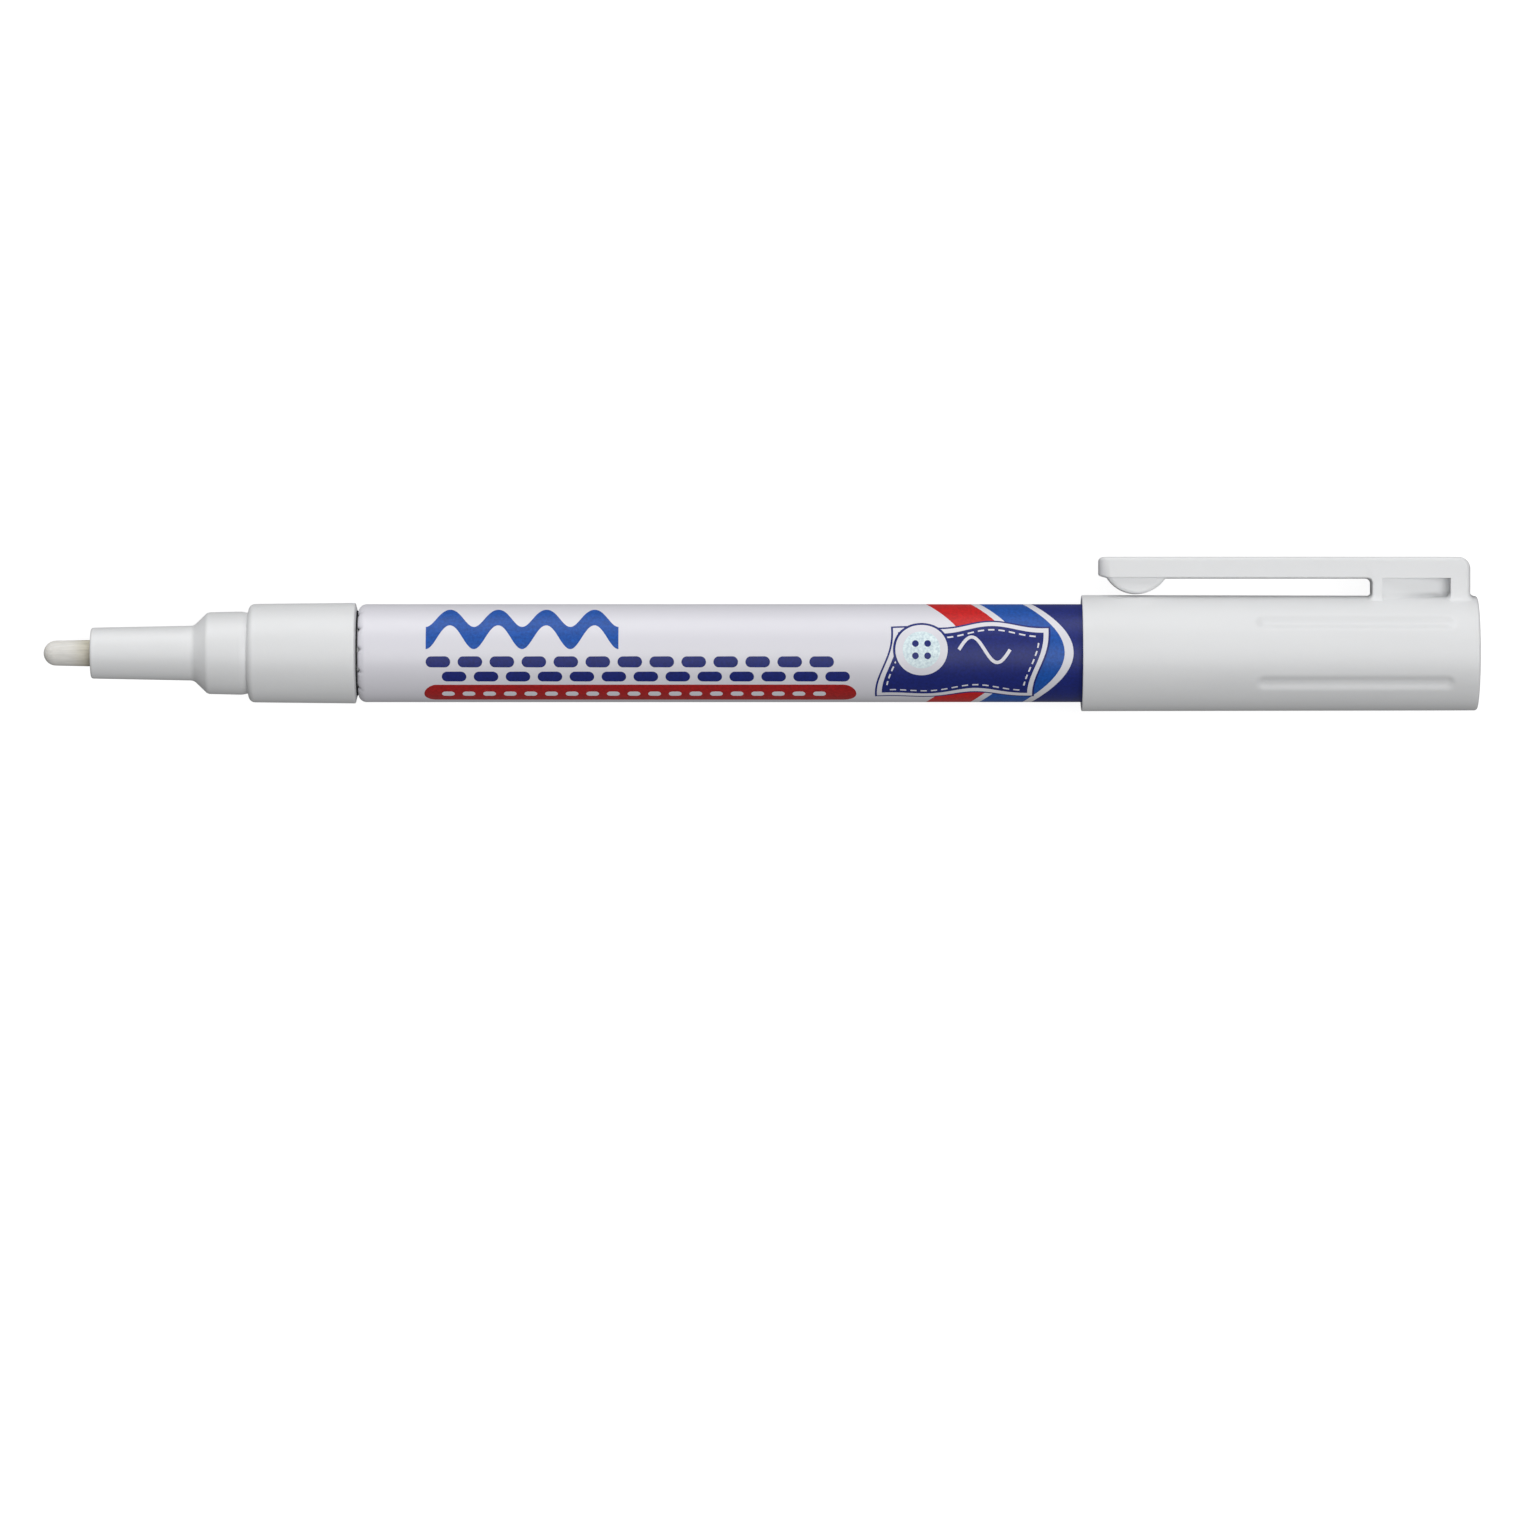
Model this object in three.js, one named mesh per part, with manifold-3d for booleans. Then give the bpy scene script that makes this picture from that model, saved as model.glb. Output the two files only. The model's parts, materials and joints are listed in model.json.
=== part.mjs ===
// Valve-action fabric marking pen with its cap posted on the back of the barrel.
// Millimetres. The pen lies along X, nib at -X, clip towards +Y, and rests on z = 0.
// Pressing the nib pushes the valve stem off its seat, which lets ink run from the can.

import * as THREE from 'three';
import { mergeVertices } from 'three/addons/utils/BufferGeometryUtils.js';
import Module from 'manifold-3d';

const wasm = await Module();
wasm.setup();

// Facets around the turned parts
const BODY_FACETS = 36;
const INNER_FACETS = 20;
const ARC_FACETS = 4;

// Clearances
const SLIDE_GAP = 0.1; // on the radius, between a sliding part and its guide
const SEAT_GAP = 0.1; // between parts that are stacked or pressed together
const FLEX_GAP = 0.3; // between the clip's arm and its root

// Fibre nib, pressed in against the valve by its stroke
const NIB_EXPOSED = 4.85;
const NIB_RADIUS = 1.35;
const NIB_TAPER = 0.1; // how much the radius falls towards the tip
const NIB_CHAMFER = 0.3;
const NIB_STROKE = 1.5;
const STROKE_MARGIN = 0.4;

// Front section: nose tube, cone, sealing land and grip collar, with a spigot into the can
const NOSE_LENGTH = 10.5;
const NOSE_FRONT_RADIUS = 2.6;
const NOSE_BACK_RADIUS = 2.8;
const NOSE_EDGE = 0.25;
const CONE_LENGTH = 1.43;
const LAND_LENGTH = 4.1;
const LAND_STEP = 0.75; // how far the land's radius is under the can's
const LAND_DRAFT = 0.08;
const LAND_WALL = 1.17;
const COLLAR_LENGTH = 11.0;
const COLLAR_RISE = 0.135; // how far the collar's back edge stands over the can
const COLLAR_DRAFT = 0.11;
const COLLAR_EDGE = 0.5;
const SPIGOT_LENGTH = 6.0;
const CHAMBER_FRONT_WALL = 0.5;
const NOTCH_WIDTH = 0.3; // between the collar and the can
const SEAL_THICKNESS = 0.45;
const SEAL_WIDTH = 0.3;

// Aluminium can
const CAN_LENGTH = 91.3;
const CAN_RADIUS = 5.0;
const CAN_WALL = 0.35;
const CAN_FLOOR = 0.5;
const SHOULDER_RADIUS = 0.8;
const LIP_WIDTH = 0.15;

// Valve
const SEAT_THICKNESS = 1.2;
const STEM_PIN_RADIUS = 1.0;
const INK_GAP = 0.3; // round the stem's pin
const HEAD_GAP = 0.4; // round the stem's head
const STEM_HEAD_LENGTH = 0.8;
const STEM_ROD_RADIUS = 0.8;
const STEM_ROD_OVERRUN = 0.6;
const HOUSING_LENGTH = 11.0;
const HOUSING_WALL = 0.5;
const WINDOW_COUNT = 4;
const WINDOW_WIDTH = 1.3;
const WINDOW_LENGTH = 5.0;
const RETAINER_PLUG_LENGTH = 1.2;
const RETAINER_FLANGE = 0.8;
const PORT_COUNT = 4;
const PORT_RADIUS = 0.4;
const SPRING_WIRE_RADIUS = 0.2;
const SPRING_TURNS = 6;
const SPRING_STEPS_PER_TURN = 12;

// Mixing ball
const BALL_RADIUS = 2.5;
const BALL_PLACE = 23.3; // from the can's back to the ball's centre

// Cap
const CAP_LENGTH = 40.4;
const CAP_CLEARANCE = 0.225; // between the cap's mouth and the can, on the radius
const CAP_WALL = 0.7;
const CAP_END_WALL = 1.2;
const CAP_DRAFT = 0.075; // how much the cap's radius falls from its mouth to its end
const CAP_END_EDGE = 0.45;
const CAP_MOUTH_CHAMFER = 0.2;
const POSTED_DEPTH = 17.5;
const LINER_STOP_GAP = 0.4;
const LINER_CHAMFER = 0.3;
const FLUTE_LENGTH = 20.5;
const FLUTE_WIDTH = 2.0;
const FLUTE_DEPTH = 0.28;
const FLUTE_SETBACK = 2.0;
const FLUTE_ANGLES = [58, 122, 238, 302]; // degrees round the cap, from the clip

// Clip
const CLIP_THICKNESS = 2.15;
const CLIP_GAP = 1.72;
const CLIP_WIDTH = 4.5;
const CLIP_MOUTH_SETBACK = 1.75;
const CLIP_END_SETBACK = 0.8;
const CLIP_TIP_RADIUS = 0.8;
const CLIP_TIP_HEEL = 1.0;
const CLIP_ROOT_LENGTH = 10.0;
const CLIP_ROOT_CORNER = 1.2;
const RECESS_DEPTH = 1.3;
const RECESS_LENGTH = 7.0;
const RECESS_POST = 1.0;
const BUMP_PLACE = 5.75; // from the cap's mouth to the middle of the bump
const BUMP_CHORD = 5.9;
const BUMP_GAP = 0.12;

// Places along the pen, from the nib's tip
const noseFront = NIB_EXPOSED;
const coneFront = noseFront + NOSE_LENGTH;
const landFront = coneFront + CONE_LENGTH;
const collarFront = landFront + LAND_LENGTH;
const collarBack = collarFront + COLLAR_LENGTH;
const canFront = collarBack + NOTCH_WIDTH;
const canBack = canFront + CAN_LENGTH;
const capFront = canBack - POSTED_DEPTH;
const capBack = capFront + CAP_LENGTH;
const chamberFront = landFront + CHAMBER_FRONT_WALL;
const seatFront = chamberFront + SEAT_GAP;
const seatBack = seatFront + SEAT_THICKNESS;
const housingFront = seatBack + SEAT_GAP;
const housingBack = housingFront + HOUSING_LENGTH;
const retainerFront = housingBack - RETAINER_PLUG_LENGTH;
const retainerBack = housingBack + SEAT_GAP + RETAINER_FLANGE;
const nibBack = chamberFront - NIB_STROKE - STROKE_MARGIN;
const stemFront = nibBack + SEAT_GAP;
const stemBack = retainerBack + STEM_ROD_OVERRUN;
const linerFront = canBack + LINER_STOP_GAP;
const clipFront = capFront + CLIP_MOUTH_SETBACK;
const rootBack = capBack - CLIP_END_SETBACK;
const rootFront = rootBack - CLIP_ROOT_LENGTH;

// Radii that follow from a neighbour
const noseBoreRadius = NIB_RADIUS + SLIDE_GAP;
const collarRadius = CAN_RADIUS + COLLAR_RISE;
const mouthRadius = CAN_RADIUS - SHOULDER_RADIUS - LIP_WIDTH;
const spigotRadius = mouthRadius - SEAT_GAP;
const landRadius = CAN_RADIUS - LAND_STEP;
const chamberRadius = landRadius - LAND_DRAFT - LAND_WALL;
const housingRadius = chamberRadius - SEAT_GAP;
const housingBoreRadius = housingRadius - HOUSING_WALL;
const rodBoreRadius = STEM_ROD_RADIUS + SLIDE_GAP;
const seatHoleRadius = STEM_PIN_RADIUS + INK_GAP;
const stemHeadRadius = housingBoreRadius - HEAD_GAP;
const springRadius = (STEM_ROD_RADIUS + housingBoreRadius) / 2;
const capBoreRadius = CAN_RADIUS + CAP_CLEARANCE;
const capRadius = capBoreRadius + CAP_WALL;
const linerRadius = capBoreRadius - CAP_DRAFT - SEAT_GAP;
const linerBoreRadius = landRadius + SLIDE_GAP;
const clipUnder = capRadius + CLIP_GAP;
const clipTop = clipUnder + CLIP_THICKNESS;

// The stem's cone has a slope of one to one, and meets the rim of the seat's hole
const stemConeFront = seatBack + SEAT_GAP - INK_GAP;
const stemHeadFront = stemConeFront + stemHeadRadius - STEM_PIN_RADIUS;
const stemHeadBack = stemHeadFront + STEM_HEAD_LENGTH;

// Materials
const plastic = new THREE.MeshStandardMaterial({ color: 0xdfe0dc, roughness: 0.42, metalness: 0 });
const lacquer = new THREE.MeshStandardMaterial({ color: 0xe4e4ea, roughness: 0.28, metalness: 0 });
const fibre = new THREE.MeshStandardMaterial({ color: 0xe9e4d6, roughness: 0.9, metalness: 0 });
const rubber = new THREE.MeshStandardMaterial({ color: 0x24242a, roughness: 0.7, metalness: 0 });
const acetal = new THREE.MeshStandardMaterial({ color: 0xeeeeea, roughness: 0.35, metalness: 0 });
const steel = new THREE.MeshStandardMaterial({ color: 0xc2c4c8, roughness: 0.22, metalness: 1 });

// Turns a closed outline of [along, radius] points about X. The outline runs from front to
// back on the outside and comes back along the axis or the bore.
function turned(outline, facets = BODY_FACETS) {
  const points = outline.map(([along, radius]) => new THREE.Vector2(radius, along));
  return new THREE.LatheGeometry(points, facets).rotateZ(-Math.PI / 2);
}

// Closes a ring's outline on its first point.
function ring(outline, facets) {
  return turned([...outline, outline[0]], facets);
}

// Points of an arc about [along, radius], with angles in degrees from +along towards +radius.
function arc(along, radius, size, from, to) {
  return Array.from({ length: ARC_FACETS + 1 }, (_, step) => {
    const angle = THREE.MathUtils.degToRad(from + (to - from) * step / ARC_FACETS);
    return [along + size * Math.cos(angle), radius + size * Math.sin(angle)];
  });
}

// Makes a geometry into a manifold-3d solid, without the zero-area triangles at its poles.
function solid(geometry) {
  const bare = geometry.clone();
  bare.deleteAttribute('normal');
  bare.deleteAttribute('uv');
  const merged = mergeVertices(bare, 1e-4);
  const corners = merged.index.array;
  const kept = [];
  for (let i = 0; i < corners.length; i += 3) {
    const [a, b, c] = corners.slice(i, i + 3);
    if (a !== b && b !== c && c !== a) kept.push(a, b, c);
  }
  return new wasm.Manifold(new wasm.Mesh({
    numProp: 3,
    vertProperties: merged.attributes.position.array,
    triVerts: new Uint32Array(kept),
  }));
}

function geometryOf(shape) {
  const mesh = shape.getMesh();
  const geometry = new THREE.BufferGeometry();
  geometry.setAttribute('position', new THREE.BufferAttribute(mesh.vertProperties, 3));
  geometry.setIndex(new THREE.BufferAttribute(mesh.triVerts, 1));
  geometry.computeVertexNormals();
  return geometry;
}

// Extrudes an outline drawn in X and Y to a width centred on z = 0.
function slab(shape, width) {
  const geometry = new THREE.ExtrudeGeometry(shape, {
    depth: width,
    bevelEnabled: false,
    curveSegments: 2 * ARC_FACETS,
  });
  return geometry.translate(0, 0, -width / 2);
}

function rectangle(left, bottom, right, top) {
  return new THREE.Shape([
    new THREE.Vector2(left, bottom),
    new THREE.Vector2(right, bottom),
    new THREE.Vector2(right, top),
    new THREE.Vector2(left, top),
  ]);
}

// Cuts copies of a tool, spaced evenly round X, out of a solid.
function cutRound(shape, tool, count) {
  let result = shape;
  for (let i = 0; i < count; i += 1) {
    result = result.subtract(solid(tool.clone().rotateX(2 * Math.PI * i / count)));
  }
  return result;
}

// Bullet-ended fibre rod, from its tip.
function nib() {
  const tipRadius = NIB_RADIUS - NIB_TAPER;
  return turned([
    ...arc(tipRadius, 0, tipRadius, 180, 90),
    [NIB_EXPOSED, NIB_RADIUS],
    [nibBack - NIB_CHAMFER, NIB_RADIUS],
    [nibBack, NIB_RADIUS - NIB_CHAMFER],
    [nibBack, 0],
  ], INNER_FACETS);
}

// Moulded front section, from the front of its nose.
function frontSection() {
  const cone = NOSE_LENGTH;
  const land = cone + CONE_LENGTH;
  const collar = land + LAND_LENGTH;
  const back = collar + COLLAR_LENGTH;
  const end = back + SPIGOT_LENGTH;
  const chamber = land + CHAMBER_FRONT_WALL;
  const rebateDepth = SEAL_THICKNESS + 2 * SEAT_GAP - NOTCH_WIDTH;
  const rebateRadius = mouthRadius + SEAL_WIDTH + SEAT_GAP;
  const collarFrontRadius = collarRadius - COLLAR_DRAFT;
  return ring([
    ...arc(NOSE_EDGE, NOSE_FRONT_RADIUS - NOSE_EDGE, NOSE_EDGE, 180, 90),
    [cone, NOSE_BACK_RADIUS],
    [land, landRadius - LAND_DRAFT],
    [collar, landRadius],
    ...arc(collar + COLLAR_EDGE, collarFrontRadius - COLLAR_EDGE, COLLAR_EDGE, 180, 90),
    [back - NOTCH_WIDTH, collarRadius],
    [back, collarRadius - NOTCH_WIDTH],
    [back, rebateRadius],
    [back - rebateDepth, rebateRadius],
    [back - rebateDepth, spigotRadius],
    [end, spigotRadius],
    [end, chamberRadius],
    [chamber, chamberRadius],
    [chamber, noseBoreRadius],
    [0, noseBoreRadius],
  ]);
}

// Gasket between the collar and the can, from its front face.
function neckSeal() {
  const outer = mouthRadius + SEAL_WIDTH;
  return ring([
    [0, outer],
    [SEAL_THICKNESS, outer],
    [SEAL_THICKNESS, mouthRadius],
    [0, mouthRadius],
  ]);
}

// Drawn can with a closed floor at its back, from its mouth.
function barrelCan() {
  const inner = CAN_RADIUS - CAN_WALL;
  const turn = SHOULDER_RADIUS;
  const innerTurn = turn - CAN_WALL;
  const floorTurn = turn - CAN_FLOOR;
  const rim = CAN_RADIUS - turn;
  return turned([
    [CAN_WALL, mouthRadius],
    [0, mouthRadius],
    ...arc(turn, rim, turn, 180, 90),
    ...arc(CAN_LENGTH - turn, rim, turn, 90, 0),
    [CAN_LENGTH, 0],
    [CAN_LENGTH - CAN_FLOOR, 0],
    ...arc(CAN_LENGTH - turn, inner - floorTurn, floorTurn, 0, 90),
    ...arc(turn, inner - innerTurn, innerTurn, 90, 180),
    [CAN_WALL, mouthRadius],
  ]);
}

// Soft ring that the valve stem closes on, from its front face.
function valveSeatRing() {
  return ring([
    [0, housingRadius],
    [SEAT_THICKNESS, housingRadius],
    [SEAT_THICKNESS, seatHoleRadius],
    [0, seatHoleRadius],
  ], INNER_FACETS);
}

// Sleeve with ink windows round the valve stem, from its front face.
function valveHousing() {
  const sleeve = ring([
    [0, housingRadius],
    [HOUSING_LENGTH, housingRadius],
    [HOUSING_LENGTH, housingBoreRadius],
    [0, housingBoreRadius],
  ], INNER_FACETS);
  const from = (HOUSING_LENGTH - WINDOW_LENGTH) / 2;
  const through = rectangle(from, 0, from + WINDOW_LENGTH, 2 * housingRadius);
  return geometryOf(cutRound(solid(sleeve), slab(through, WINDOW_WIDTH), WINDOW_COUNT));
}

// Ported plug that carries the spring's back end, from the front of the plug.
function springRetainer() {
  const plugRadius = housingBoreRadius - SEAT_GAP;
  const flange = RETAINER_PLUG_LENGTH + SEAT_GAP;
  const back = flange + RETAINER_FLANGE;
  const body = ring([
    [0, plugRadius],
    [flange, plugRadius],
    [flange, housingRadius],
    [back, housingRadius],
    [back, rodBoreRadius],
    [0, rodBoreRadius],
  ], INNER_FACETS);
  const port = new THREE.CylinderGeometry(PORT_RADIUS, PORT_RADIUS, 3 * back, 12);
  port.rotateZ(Math.PI / 2).translate(0, (rodBoreRadius + plugRadius) / 2, 0);
  return geometryOf(cutRound(solid(body), port, PORT_COUNT));
}

// Pin, sealing cone, head and guide rod in one, from the front of the pin.
function valveStem() {
  return turned([
    [0, 0],
    [0, STEM_PIN_RADIUS],
    [stemConeFront - stemFront, STEM_PIN_RADIUS],
    [stemHeadFront - stemFront, stemHeadRadius],
    [stemHeadBack - stemFront, stemHeadRadius],
    [stemHeadBack - stemFront, STEM_ROD_RADIUS],
    [stemBack - stemFront, STEM_ROD_RADIUS],
    [stemBack - stemFront, 0],
  ], INNER_FACETS);
}

class Helix extends THREE.Curve {
  constructor(radius, length, turns) {
    super();
    Object.assign(this, { radius, length, turns });
  }

  getPoint(t, target = new THREE.Vector3()) {
    const angle = 2 * Math.PI * this.turns * t;
    const across = this.radius * Math.cos(angle);
    return target.set(this.length * t, across, this.radius * Math.sin(angle));
  }
}

// Compression spring between the stem's head and the retainer, from its front face.
function valveSpring() {
  const span = retainerFront - stemHeadBack - 2 * SEAT_GAP;
  const wire = SPRING_WIRE_RADIUS;
  const section = new THREE.Shape().absarc(0, 0, wire, 0, 2 * Math.PI);
  const path = new Helix(springRadius, span - 2 * wire, SPRING_TURNS);
  return new THREE.ExtrudeGeometry(section, {
    steps: SPRING_TURNS * SPRING_STEPS_PER_TURN,
    curveSegments: 3,
    extrudePath: path,
  }).translate(wire, 0, 0);
}

function mixingBall() {
  return new THREE.SphereGeometry(BALL_RADIUS, INNER_FACETS, INNER_FACETS / 2);
}

// Outline of the clip's arm with its bump, in the pen's own X and Y.
function armOutline() {
  const back = rootFront - FLEX_GAP;
  const bumpMiddle = capFront + BUMP_PLACE;
  const depth = clipUnder - capRadius - BUMP_GAP;
  const halfChord = BUMP_CHORD / 2;
  const radius = (halfChord ** 2 + depth ** 2) / (2 * depth);
  const half = Math.asin(halfChord / radius);
  const down = -Math.PI / 2;
  const tip = CLIP_TIP_RADIUS;
  return new THREE.Shape()
    .moveTo(clipFront, clipUnder + CLIP_THICKNESS / 2)
    .lineTo(clipFront + CLIP_TIP_HEEL, clipUnder)
    .absarc(bumpMiddle, clipUnder - depth + radius, radius, down - half, down + half)
    .lineTo(back, clipUnder)
    .lineTo(back, clipTop)
    .absarc(clipFront + tip, clipTop - tip, tip, Math.PI / 2, Math.PI);
}

function clipArm() {
  return slab(armOutline(), CLIP_WIDTH);
}

// Block that carries the clip's arm: an end wall and a post with a thin web between them.
function clipRoot() {
  const corner = CLIP_ROOT_CORNER;
  const outline = new THREE.Shape()
    .moveTo(rootFront, 0)
    .lineTo(rootBack, 0)
    .absarc(rootBack - corner, clipTop - corner, corner, 0, Math.PI / 2)
    .lineTo(rootFront, clipTop);
  const from = rootFront + RECESS_POST;
  const pocket = slab(rectangle(from, 0, from + RECESS_LENGTH, clipUnder), 2 * RECESS_DEPTH);
  const side = CLIP_WIDTH / 2;
  return solid(slab(outline, CLIP_WIDTH))
    .subtract(solid(pocket.clone().translate(0, 0, side)))
    .subtract(solid(pocket.clone().translate(0, 0, -side)));
}

// Long shallow groove with round ends, at the clip's side of the cap before it is turned.
function flute() {
  const half = FLUTE_WIDTH / 2;
  const back = capBack - FLUTE_SETBACK - half;
  const front = capBack - FLUTE_SETBACK - FLUTE_LENGTH + half;
  const outline = new THREE.Shape()
    .absarc(front, 0, half, Math.PI / 2, 3 * Math.PI / 2)
    .absarc(back, 0, half, -Math.PI / 2, Math.PI / 2);
  return slab(outline, CAP_WALL)
    .rotateX(-Math.PI / 2)
    .translate(0, capRadius - CAP_DRAFT - FLUTE_DEPTH + CAP_WALL / 2, 0);
}

// Cap with the clip's root moulded on, in the pen's own X.
function capShell() {
  const endRadius = capRadius - CAP_DRAFT;
  const edge = CAP_END_EDGE;
  const outside = turned([
    [capFront, 0],
    [capFront, capRadius],
    ...arc(capBack - edge, endRadius - edge, edge, 90, 0),
    [capBack, 0],
  ]);
  const inside = turned([
    [capFront - CAP_WALL, 0],
    [capFront - CAP_WALL, capBoreRadius + CAP_MOUTH_CHAMFER],
    [capFront, capBoreRadius + CAP_MOUTH_CHAMFER],
    [capFront + CAP_MOUTH_CHAMFER, capBoreRadius],
    [capBack - CAP_END_WALL, capBoreRadius - CAP_DRAFT],
    [capBack - CAP_END_WALL, 0],
  ]);
  let shell = solid(outside).add(clipRoot()).subtract(solid(inside));
  for (const angle of FLUTE_ANGLES) {
    shell = shell.subtract(solid(flute().rotateX(THREE.MathUtils.degToRad(angle))));
  }
  return geometryOf(shell);
}

// Sleeve in the cap that seals on the front section's land, from its mouth.
function capLiner() {
  const length = capBack - CAP_END_WALL - SEAT_GAP - linerFront;
  return ring([
    [0, linerRadius],
    [length, linerRadius],
    [length, linerBoreRadius],
    [LINER_CHAMFER, linerBoreRadius],
    [0, linerBoreRadius + LINER_CHAMFER],
  ]);
}

function part(name, geometry, material, along = 0) {
  const mesh = new THREE.Mesh(geometry, material);
  mesh.name = name;
  mesh.position.x = along;
  return mesh;
}

// The ball lies on the lowest line of the can's wall.
function ballInCan() {
  const mesh = part('mixing_ball', mixingBall(), steel, canBack - BALL_PLACE);
  mesh.position.z = -(CAN_RADIUS - CAN_WALL - BALL_RADIUS - SLIDE_GAP);
  return mesh;
}

const sealFront = collarBack + NOTCH_WIDTH - SEAT_GAP - SEAL_THICKNESS;

const barrelGroup = new THREE.Group();
barrelGroup.add(
  part('barrel_can', barrelCan(), lacquer, canFront),
  part('front_section', frontSection(), plastic, noseFront),
  part('neck_seal', neckSeal(), rubber, sealFront),
  part('valve_housing', valveHousing(), acetal, housingFront),
  part('valve_seat_ring', valveSeatRing(), rubber, seatFront),
  part('spring_retainer', springRetainer(), acetal, retainerFront),
);

const valveGroup = new THREE.Group();
valveGroup.add(
  part('nib', nib(), fibre),
  part('valve_stem', valveStem(), acetal, stemFront),
  part('valve_spring', valveSpring(), steel, stemHeadBack + SEAT_GAP),
);

const capGroup = new THREE.Group();
capGroup.add(
  part('cap_shell', capShell(), plastic),
  part('cap_liner', capLiner(), acetal, linerFront),
  part('clip', clipArm(), plastic),
);

// The origin is under the middle of the pen's box, clip included.
const pen = new THREE.Group();
pen.add(barrelGroup, valveGroup, ballInCan(), capGroup);
pen.position.set(-capBack / 2, (capRadius - clipTop) / 2, capRadius);

export default pen;
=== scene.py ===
import json
import math
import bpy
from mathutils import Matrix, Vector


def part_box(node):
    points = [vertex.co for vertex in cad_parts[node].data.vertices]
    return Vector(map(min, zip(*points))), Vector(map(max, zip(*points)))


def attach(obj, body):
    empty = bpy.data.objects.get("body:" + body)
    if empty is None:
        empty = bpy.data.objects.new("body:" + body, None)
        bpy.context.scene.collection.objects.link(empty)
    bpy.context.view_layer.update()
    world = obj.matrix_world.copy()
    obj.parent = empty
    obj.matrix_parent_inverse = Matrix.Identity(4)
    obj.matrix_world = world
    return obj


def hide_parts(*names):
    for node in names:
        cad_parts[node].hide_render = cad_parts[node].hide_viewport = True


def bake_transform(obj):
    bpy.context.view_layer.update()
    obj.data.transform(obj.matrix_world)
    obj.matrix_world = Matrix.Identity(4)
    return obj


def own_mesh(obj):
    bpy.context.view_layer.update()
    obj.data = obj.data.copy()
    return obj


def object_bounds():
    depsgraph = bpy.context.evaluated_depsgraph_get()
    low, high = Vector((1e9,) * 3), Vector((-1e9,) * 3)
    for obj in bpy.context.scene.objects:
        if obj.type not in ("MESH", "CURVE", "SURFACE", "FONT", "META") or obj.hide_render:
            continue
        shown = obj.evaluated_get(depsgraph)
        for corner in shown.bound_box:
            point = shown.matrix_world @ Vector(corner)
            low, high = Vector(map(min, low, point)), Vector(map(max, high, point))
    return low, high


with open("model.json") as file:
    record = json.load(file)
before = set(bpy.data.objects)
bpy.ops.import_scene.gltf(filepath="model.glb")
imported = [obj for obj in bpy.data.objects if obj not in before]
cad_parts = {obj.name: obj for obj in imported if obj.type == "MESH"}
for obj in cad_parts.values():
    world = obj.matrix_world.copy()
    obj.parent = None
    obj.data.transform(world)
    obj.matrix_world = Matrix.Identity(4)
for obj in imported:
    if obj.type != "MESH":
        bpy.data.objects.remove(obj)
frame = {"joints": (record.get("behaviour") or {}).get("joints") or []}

from types import SimpleNamespace

import bmesh
import bpy
from bpy.props import FloatProperty, FloatVectorProperty, IntProperty, PointerProperty
from mathutils import Matrix, Vector

bl_info = {
    "name": "Fabric marker",
    "version": (1, 0, 0),
    "blender": (4, 5, 0),
    "location": "3D View > Sidebar > Fabric marker",
    "description": "Builds a valve-action fabric marker round its packed model, piece by piece",
    "category": "Add Mesh",
}

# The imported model's own box, before any piece is added
CAD_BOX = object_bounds()

# Pieces are modelled in millimetres in the pen's own axes, with the origin at the nib's tip:
# x runs back along the pen, y points to the clip, and z points up.
MM = 0.001
CAN_LOW, CAN_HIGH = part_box("barrel_can")
PEN_ORIGIN = Vector((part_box("nib")[0].x, (CAN_LOW.y + CAN_HIGH.y) / 2, (CAN_LOW.z + CAN_HIGH.z) / 2))
TO_FRAME = Matrix.Translation(PEN_ORIGIN) @ Matrix.Scale(MM, 4)

# How finely the pieces are made
BODY_STEPS = 240
INNER_STEPS = 96
ARC_STEPS = 5
STRIP_ANGLE = 4.0
TINY = 1e-5
SMOOTH_ANGLE = math.radians(35)
PEN_AXIS = Vector((1, 0, 0))


# ---------------------------------------------------------------------------
# Settings
# ---------------------------------------------------------------------------


def size(name, description, millimetres):
    """A length that a user may change, given here in millimetres."""
    return FloatProperty(
        name=name,
        description=description,
        default=millimetres * MM,
        min=0.0,
        precision=5,
        unit="LENGTH",
    )


def power(name, description, watts):
    """A light's power that a user may change."""
    return FloatProperty(name=name, description=description, default=watts, min=0.0, unit="POWER")


def strength(name, description, value):
    """A brightness that a user may change."""
    return FloatProperty(name=name, description=description, default=value, min=0.0)


def count_of(name, description, number, least=1):
    """A count that a user may change."""
    return IntProperty(name=name, description=description, default=number, min=least)


def turn(name, description, degrees):
    """An angle that a user may change, given here in degrees."""
    return FloatProperty(
        name=name,
        description=description,
        default=math.radians(degrees),
        subtype="ANGLE",
        unit="ROTATION",
    )


def to_linear(code):
    """Turns a hex sRGB colour into linear red, green and blue."""
    channels = [((code >> shift) & 255) / 255 for shift in (16, 8, 0)]
    return [c / 12.92 if c <= 0.04045 else ((c + 0.055) / 1.055) ** 2.4 for c in channels]


def colour(name, description, code):
    """A colour that a user may change, given here as hex sRGB."""
    return FloatVectorProperty(
        name=name,
        description=description,
        default=to_linear(code),
        size=3,
        min=0.0,
        max=1.0,
        subtype="COLOR",
    )


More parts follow.
